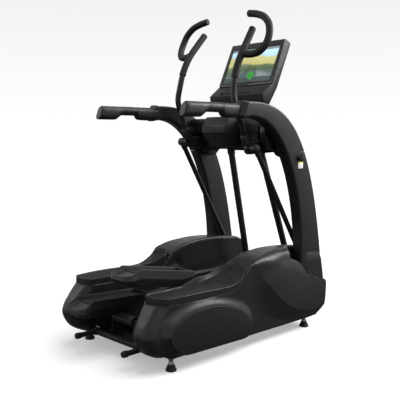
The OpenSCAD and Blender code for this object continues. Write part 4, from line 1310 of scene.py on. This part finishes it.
for side in SIDES:
    foot = FOOT[side]
    body = f"beam_{side}"
    piece(f"foot_beam_{side}_tube", foot_beam(), f"foot_beam_{side}", "arm_steel", foot, sharp=35, body=body)
    piece(f"beam_yoke_{side}_clevis", yoke(), f"beam_yoke_{side}", "bright_steel", foot, sharp=35, body=f"yoke_{side}")
    piece(f"pedal_tray_{side}_bowl", tray(), f"pedal_tray_{side}", "cover_plastic", foot, sharp=17, body=body)
    plan = rounded([(174, -842), (174, -1178), (44, -1178), (44, -842)][::-1], 12, 5)
    mat = tread(plan, (46, -1180), (172, -840), lambda x, y: along(TRAY_FLOOR, y), 2.6)
    piece(f"pedal_tread_{side}", mat, f"pedal_mat_{side}", "dark_rubber", foot, body=body)

# ---------- base ----------

CROSS = (-488, 84)
STUB_X, STUB_Z, FOOT_X = 191, 82, 328
frame_parts = []
for s in (-1, 1):
    frame_parts.append(bevel(prism([(-504, 112), (-504, 92), (-466, 66), (-440, 62), (640, 62), (640, 112)],
                                   s * FOOT_X - 25, s * FOOT_X + 25), 2, 2, 20))
    post = prism([(468, 110), (548, 110), (LEVER.y + 22, LEVER.z + 22), (LEVER.y - 22, LEVER.z + 22)],
                 s * 302, s * 306)
    lug = prism([(490, 100), (622, 100), (580, 185), (540, 185)], s * 100, s * 112)
    frame_parts += [bevel(post, 1.2, 2), bevel(lug, 1.2, 2)]
for y0, y1, z0 in ((470, 520, 62), (590, 640, 62), (-310, -260, 68)):
    frame_parts.append(box((-304, y0, z0), (304, y1, 102), 1.6, 2))
piece("base_frame_weldment", merge(*frame_parts), "base_frame", "frame_steel", sharp=30)
stub_parts = [rod(17, -300, 300, CROSS, 2)]
for s in (-1, 1):
    stub_parts.append(tube([(s * STUB_X, y, STUB_Z) for y in (-486, -500, -560, -590)], 13, 28, 1.5))
    stub_parts.append(slab([(-506, 66), (-470, 66), (-470, 98), (-506, 101)], 8, s * STUB_X - 16, s * STUB_X + 16,
                           2.5))
piece("rear_crossbar_tube", merge(*stub_parts), "rear_crossbar", "frame_steel", sharp=35)
caps = [lathe([(-611, 10), (-610.5, 13), (-608, 15), (-605, 15.6), (-584, 15.6), (-583, 15), (-581, 14.6),
               (-581, 12)], (s * STUB_X, 0, STUB_Z), "y", 36) for s in (-1, 1)]
piece("stub_cap_pair", merge(*caps), "stub_caps", "dark_rubber", sharp=35)
bolts = [hexagon((s * STUB_X + dx, -478), 6, 100, 107, 0.8, "z") for s in (-1, 1) for dx in (-9, 9)]
piece("crossbar_bolts", merge(*bolts), (), "bright_steel", sharp=35)

roller = lathe([(-78, 20), (-78, 25), (-77, 26), (77, 26), (78, 25), (78, 20), (66, 20), (66, 9), (76, 9), (76, 8.2),
                (-76, 8.2), (-76, 9), (-66, 9), (-66, 20), (-78, 20)], PIVOT["roller_spin"], "x", 48)
piece("rest_roller_tube", roller, "rest_roller", "bright_steel", mat=ROLLER_SKIN, sharp=35, body="roller")

feet, pads = [], []
for s in (-1, 1):
    for y in (-435, 571):
        pads.append(lathe([(0, 0), (0, 24), (1, 25.5), (7, 26), (9, 25), (20, 20), (27, 17.5), (30, 16.5), (31, 14),
                           (31, 8)], (s * FOOT_X, y, 0), "z", 40))
        feet.append(lathe([(29, 12), (31, 14), (36, 13), (46, 10), (48, 7), (70, 7)], (s * FOOT_X, y, 0), "z", 32))
        feet.append(hexagon((s * FOOT_X, y), 13, 49, 61, 1.2, "z"))
piece("levelling_pads", merge(*pads), "leveling_feet", "dark_rubber", sharp=35)
# The stems and nuts take the steel darkened as painted shade, not a plating colour of their own.
piece("levelling_stems", merge(*feet), "leveling_feet", "bright_steel", mat=SHADE_DARKENED_STEEL, sharp=35)

# ---------- CAD nodes that stay ----------

KEPT = {"floor_plate": ("frame_steel", 0.8), "roller_bracket": ("frame_steel", 1.0),
        "front_cover": ("shell_plastic", 4.0), "power_inlet": ("console_plastic", 0.8),
        "head_shaft": ("bright_steel", 1.5), "drive_belts": ("dark_rubber", 0), "flywheel": ("bright_steel", 2.0),
        "drive_lever_right": ("bright_steel", 1.5), "drive_lever_left": ("bright_steel", 1.5)}
for node, (slot_name, width) in KEPT.items():
    o = frame["nodes"][node]
    o.data.materials.clear()
    o.data.materials.append(MATS[slot_name])
    weld = o.modifiers.new("weld", "WELD")
    weld.merge_threshold = 0.00001
    if width:
        edge = o.modifiers.new("edges", "BEVEL")
        edge.width, edge.segments = width * MM, 2
        edge.limit_method, edge.angle_limit = "ANGLE", math.radians(40)
        edge.harden_normals = False
        edge.use_clamp_overlap = True

# ---------- labels without any writing ----------


def label_material(name, band, axis, limit):
    """A pale blank plate, with a coloured band past the limit on the axis."""
    mat = material(name, (0.75, 0.75, 0.74), 0.35, mottle=0.02, grain_depth=0.00001)
    tree = mat.node_tree
    shader = tree.nodes["Principled BSDF"]
    past = arithmetic(tree, "GREATER_THAN", coordinate(tree, axis), limit)
    plain = shader.inputs["Base Color"].links[0].from_socket
    feed(tree, shader, Base_Color=mixed(tree, past, plain, band))
    return mat


plate = slab([(436, 905), (478, 905), (478, 939), (436, 939)], 4, 374.6, 375.8, 0.3)
piece("blank_plate_tower", plate, (), "cover_plastic",
      mat=label_material("plate_pale_tower", (0.75, 0.68, 0.1), "Z", 0.932))

tag = slab([(20, -458), (118, -458), (118, -424), (20, -424)], 3, 68.1, 68.9, 0.25, 3, "z")
piece("blank_plate_floor", tag, (), "frame_steel",
      mat=label_material("plate_pale_floor", (0.8, 0.35, 0.04), "Y", -0.434))

# ---------- floor, light and camera ----------


def studio_floor():
    """A pale floor that lights itself a little, so that the shadows on it stay soft."""
    bm = bmesh.new()
    bmesh.ops.create_grid(bm, x_segments=40, y_segments=40, size=40.0)
    o = placed("floor", plain_mesh(bm, "floor"))
    paint = material("studio_floor", (0.5, 0.5, 0.5), 0.9, mottle=0.004, mottle_size=2.0, grain_depth=0.00001,
                     specular=0.0)
    tree = paint.node_tree
    feed(tree, tree.nodes["Principled BSDF"], Emission_Color=(1, 1, 1, 1), Emission_Strength=0.36)
    o.data.materials.append(paint)
    o.location.z = -0.0005
    o.visible_glossy = False
    o.visible_diffuse = False


def lamp(kind, name, place, target, energy, **settings):
    """A light that shines from place towards target."""
    data = bpy.data.lights.new(name, kind)
    data.energy = energy
    for key, value in settings.items():
        setattr(data, key, value)
    o = placed(name, data)
    o.location = place
    o.rotation_euler = (Vector(target) - Vector(place)).to_track_quat("-Z", "Y").to_euler()


SKY = [(-1.0, 0.12), (-0.12, 0.12), (-0.06, 1.0), (1.0, 0.35)]


def studio_sky():
    """Dark below the horizon, white at it, and slowly dimmer towards the zenith."""
    world = bpy.data.worlds.new("studio")
    bpy.context.scene.world = world
    world.use_nodes = True
    sky = world.node_tree
    height = remap(sky, coordinate(sky, "Z", "Generated"), 0.0, 1.0, (-1.0, 1.0))
    shade = ramp(sky, height, [((z + 1) / 2, (level,) * 3) for z, level in SKY])
    feed(sky, sky.nodes["Background"], Color=shade, Strength=1.06)


bpy.context.scene.view_settings.view_transform = "Standard"
studio_floor()
studio_sky()
lamp("SUN", "overhead", (1.2, 0.8, 4.0), (0, 0, 0), 3.0, angle=math.radians(60))
lamp("AREA", "front_right", (2.3, 3.3, 3.1), (0.1, 0.1, 0.7), 200, shape="RECTANGLE", size=2.6, size_y=2.0)
lamp("AREA", "rear_left", (-3.2, -3.0, 3.0), (0, 0, 0.6), 45, shape="RECTANGLE", size=2.2, size_y=2.2)

camera_data = bpy.data.cameras.new("camera")
camera_data.lens = 57.4
camera_data.sensor_width = 36
camera = placed("camera", camera_data)
azimuth, pitch = math.radians(46.07), math.radians(5.57)
view_dir = Vector((-math.sin(azimuth) * math.cos(pitch), math.cos(azimuth) * math.cos(pitch), -math.sin(pitch)))
camera.location = Vector((2475, -2318, 1069)) * MM
camera.rotation_euler = view_dir.to_track_quat("-Z", "Y").to_euler()
bpy.context.scene.camera = camera
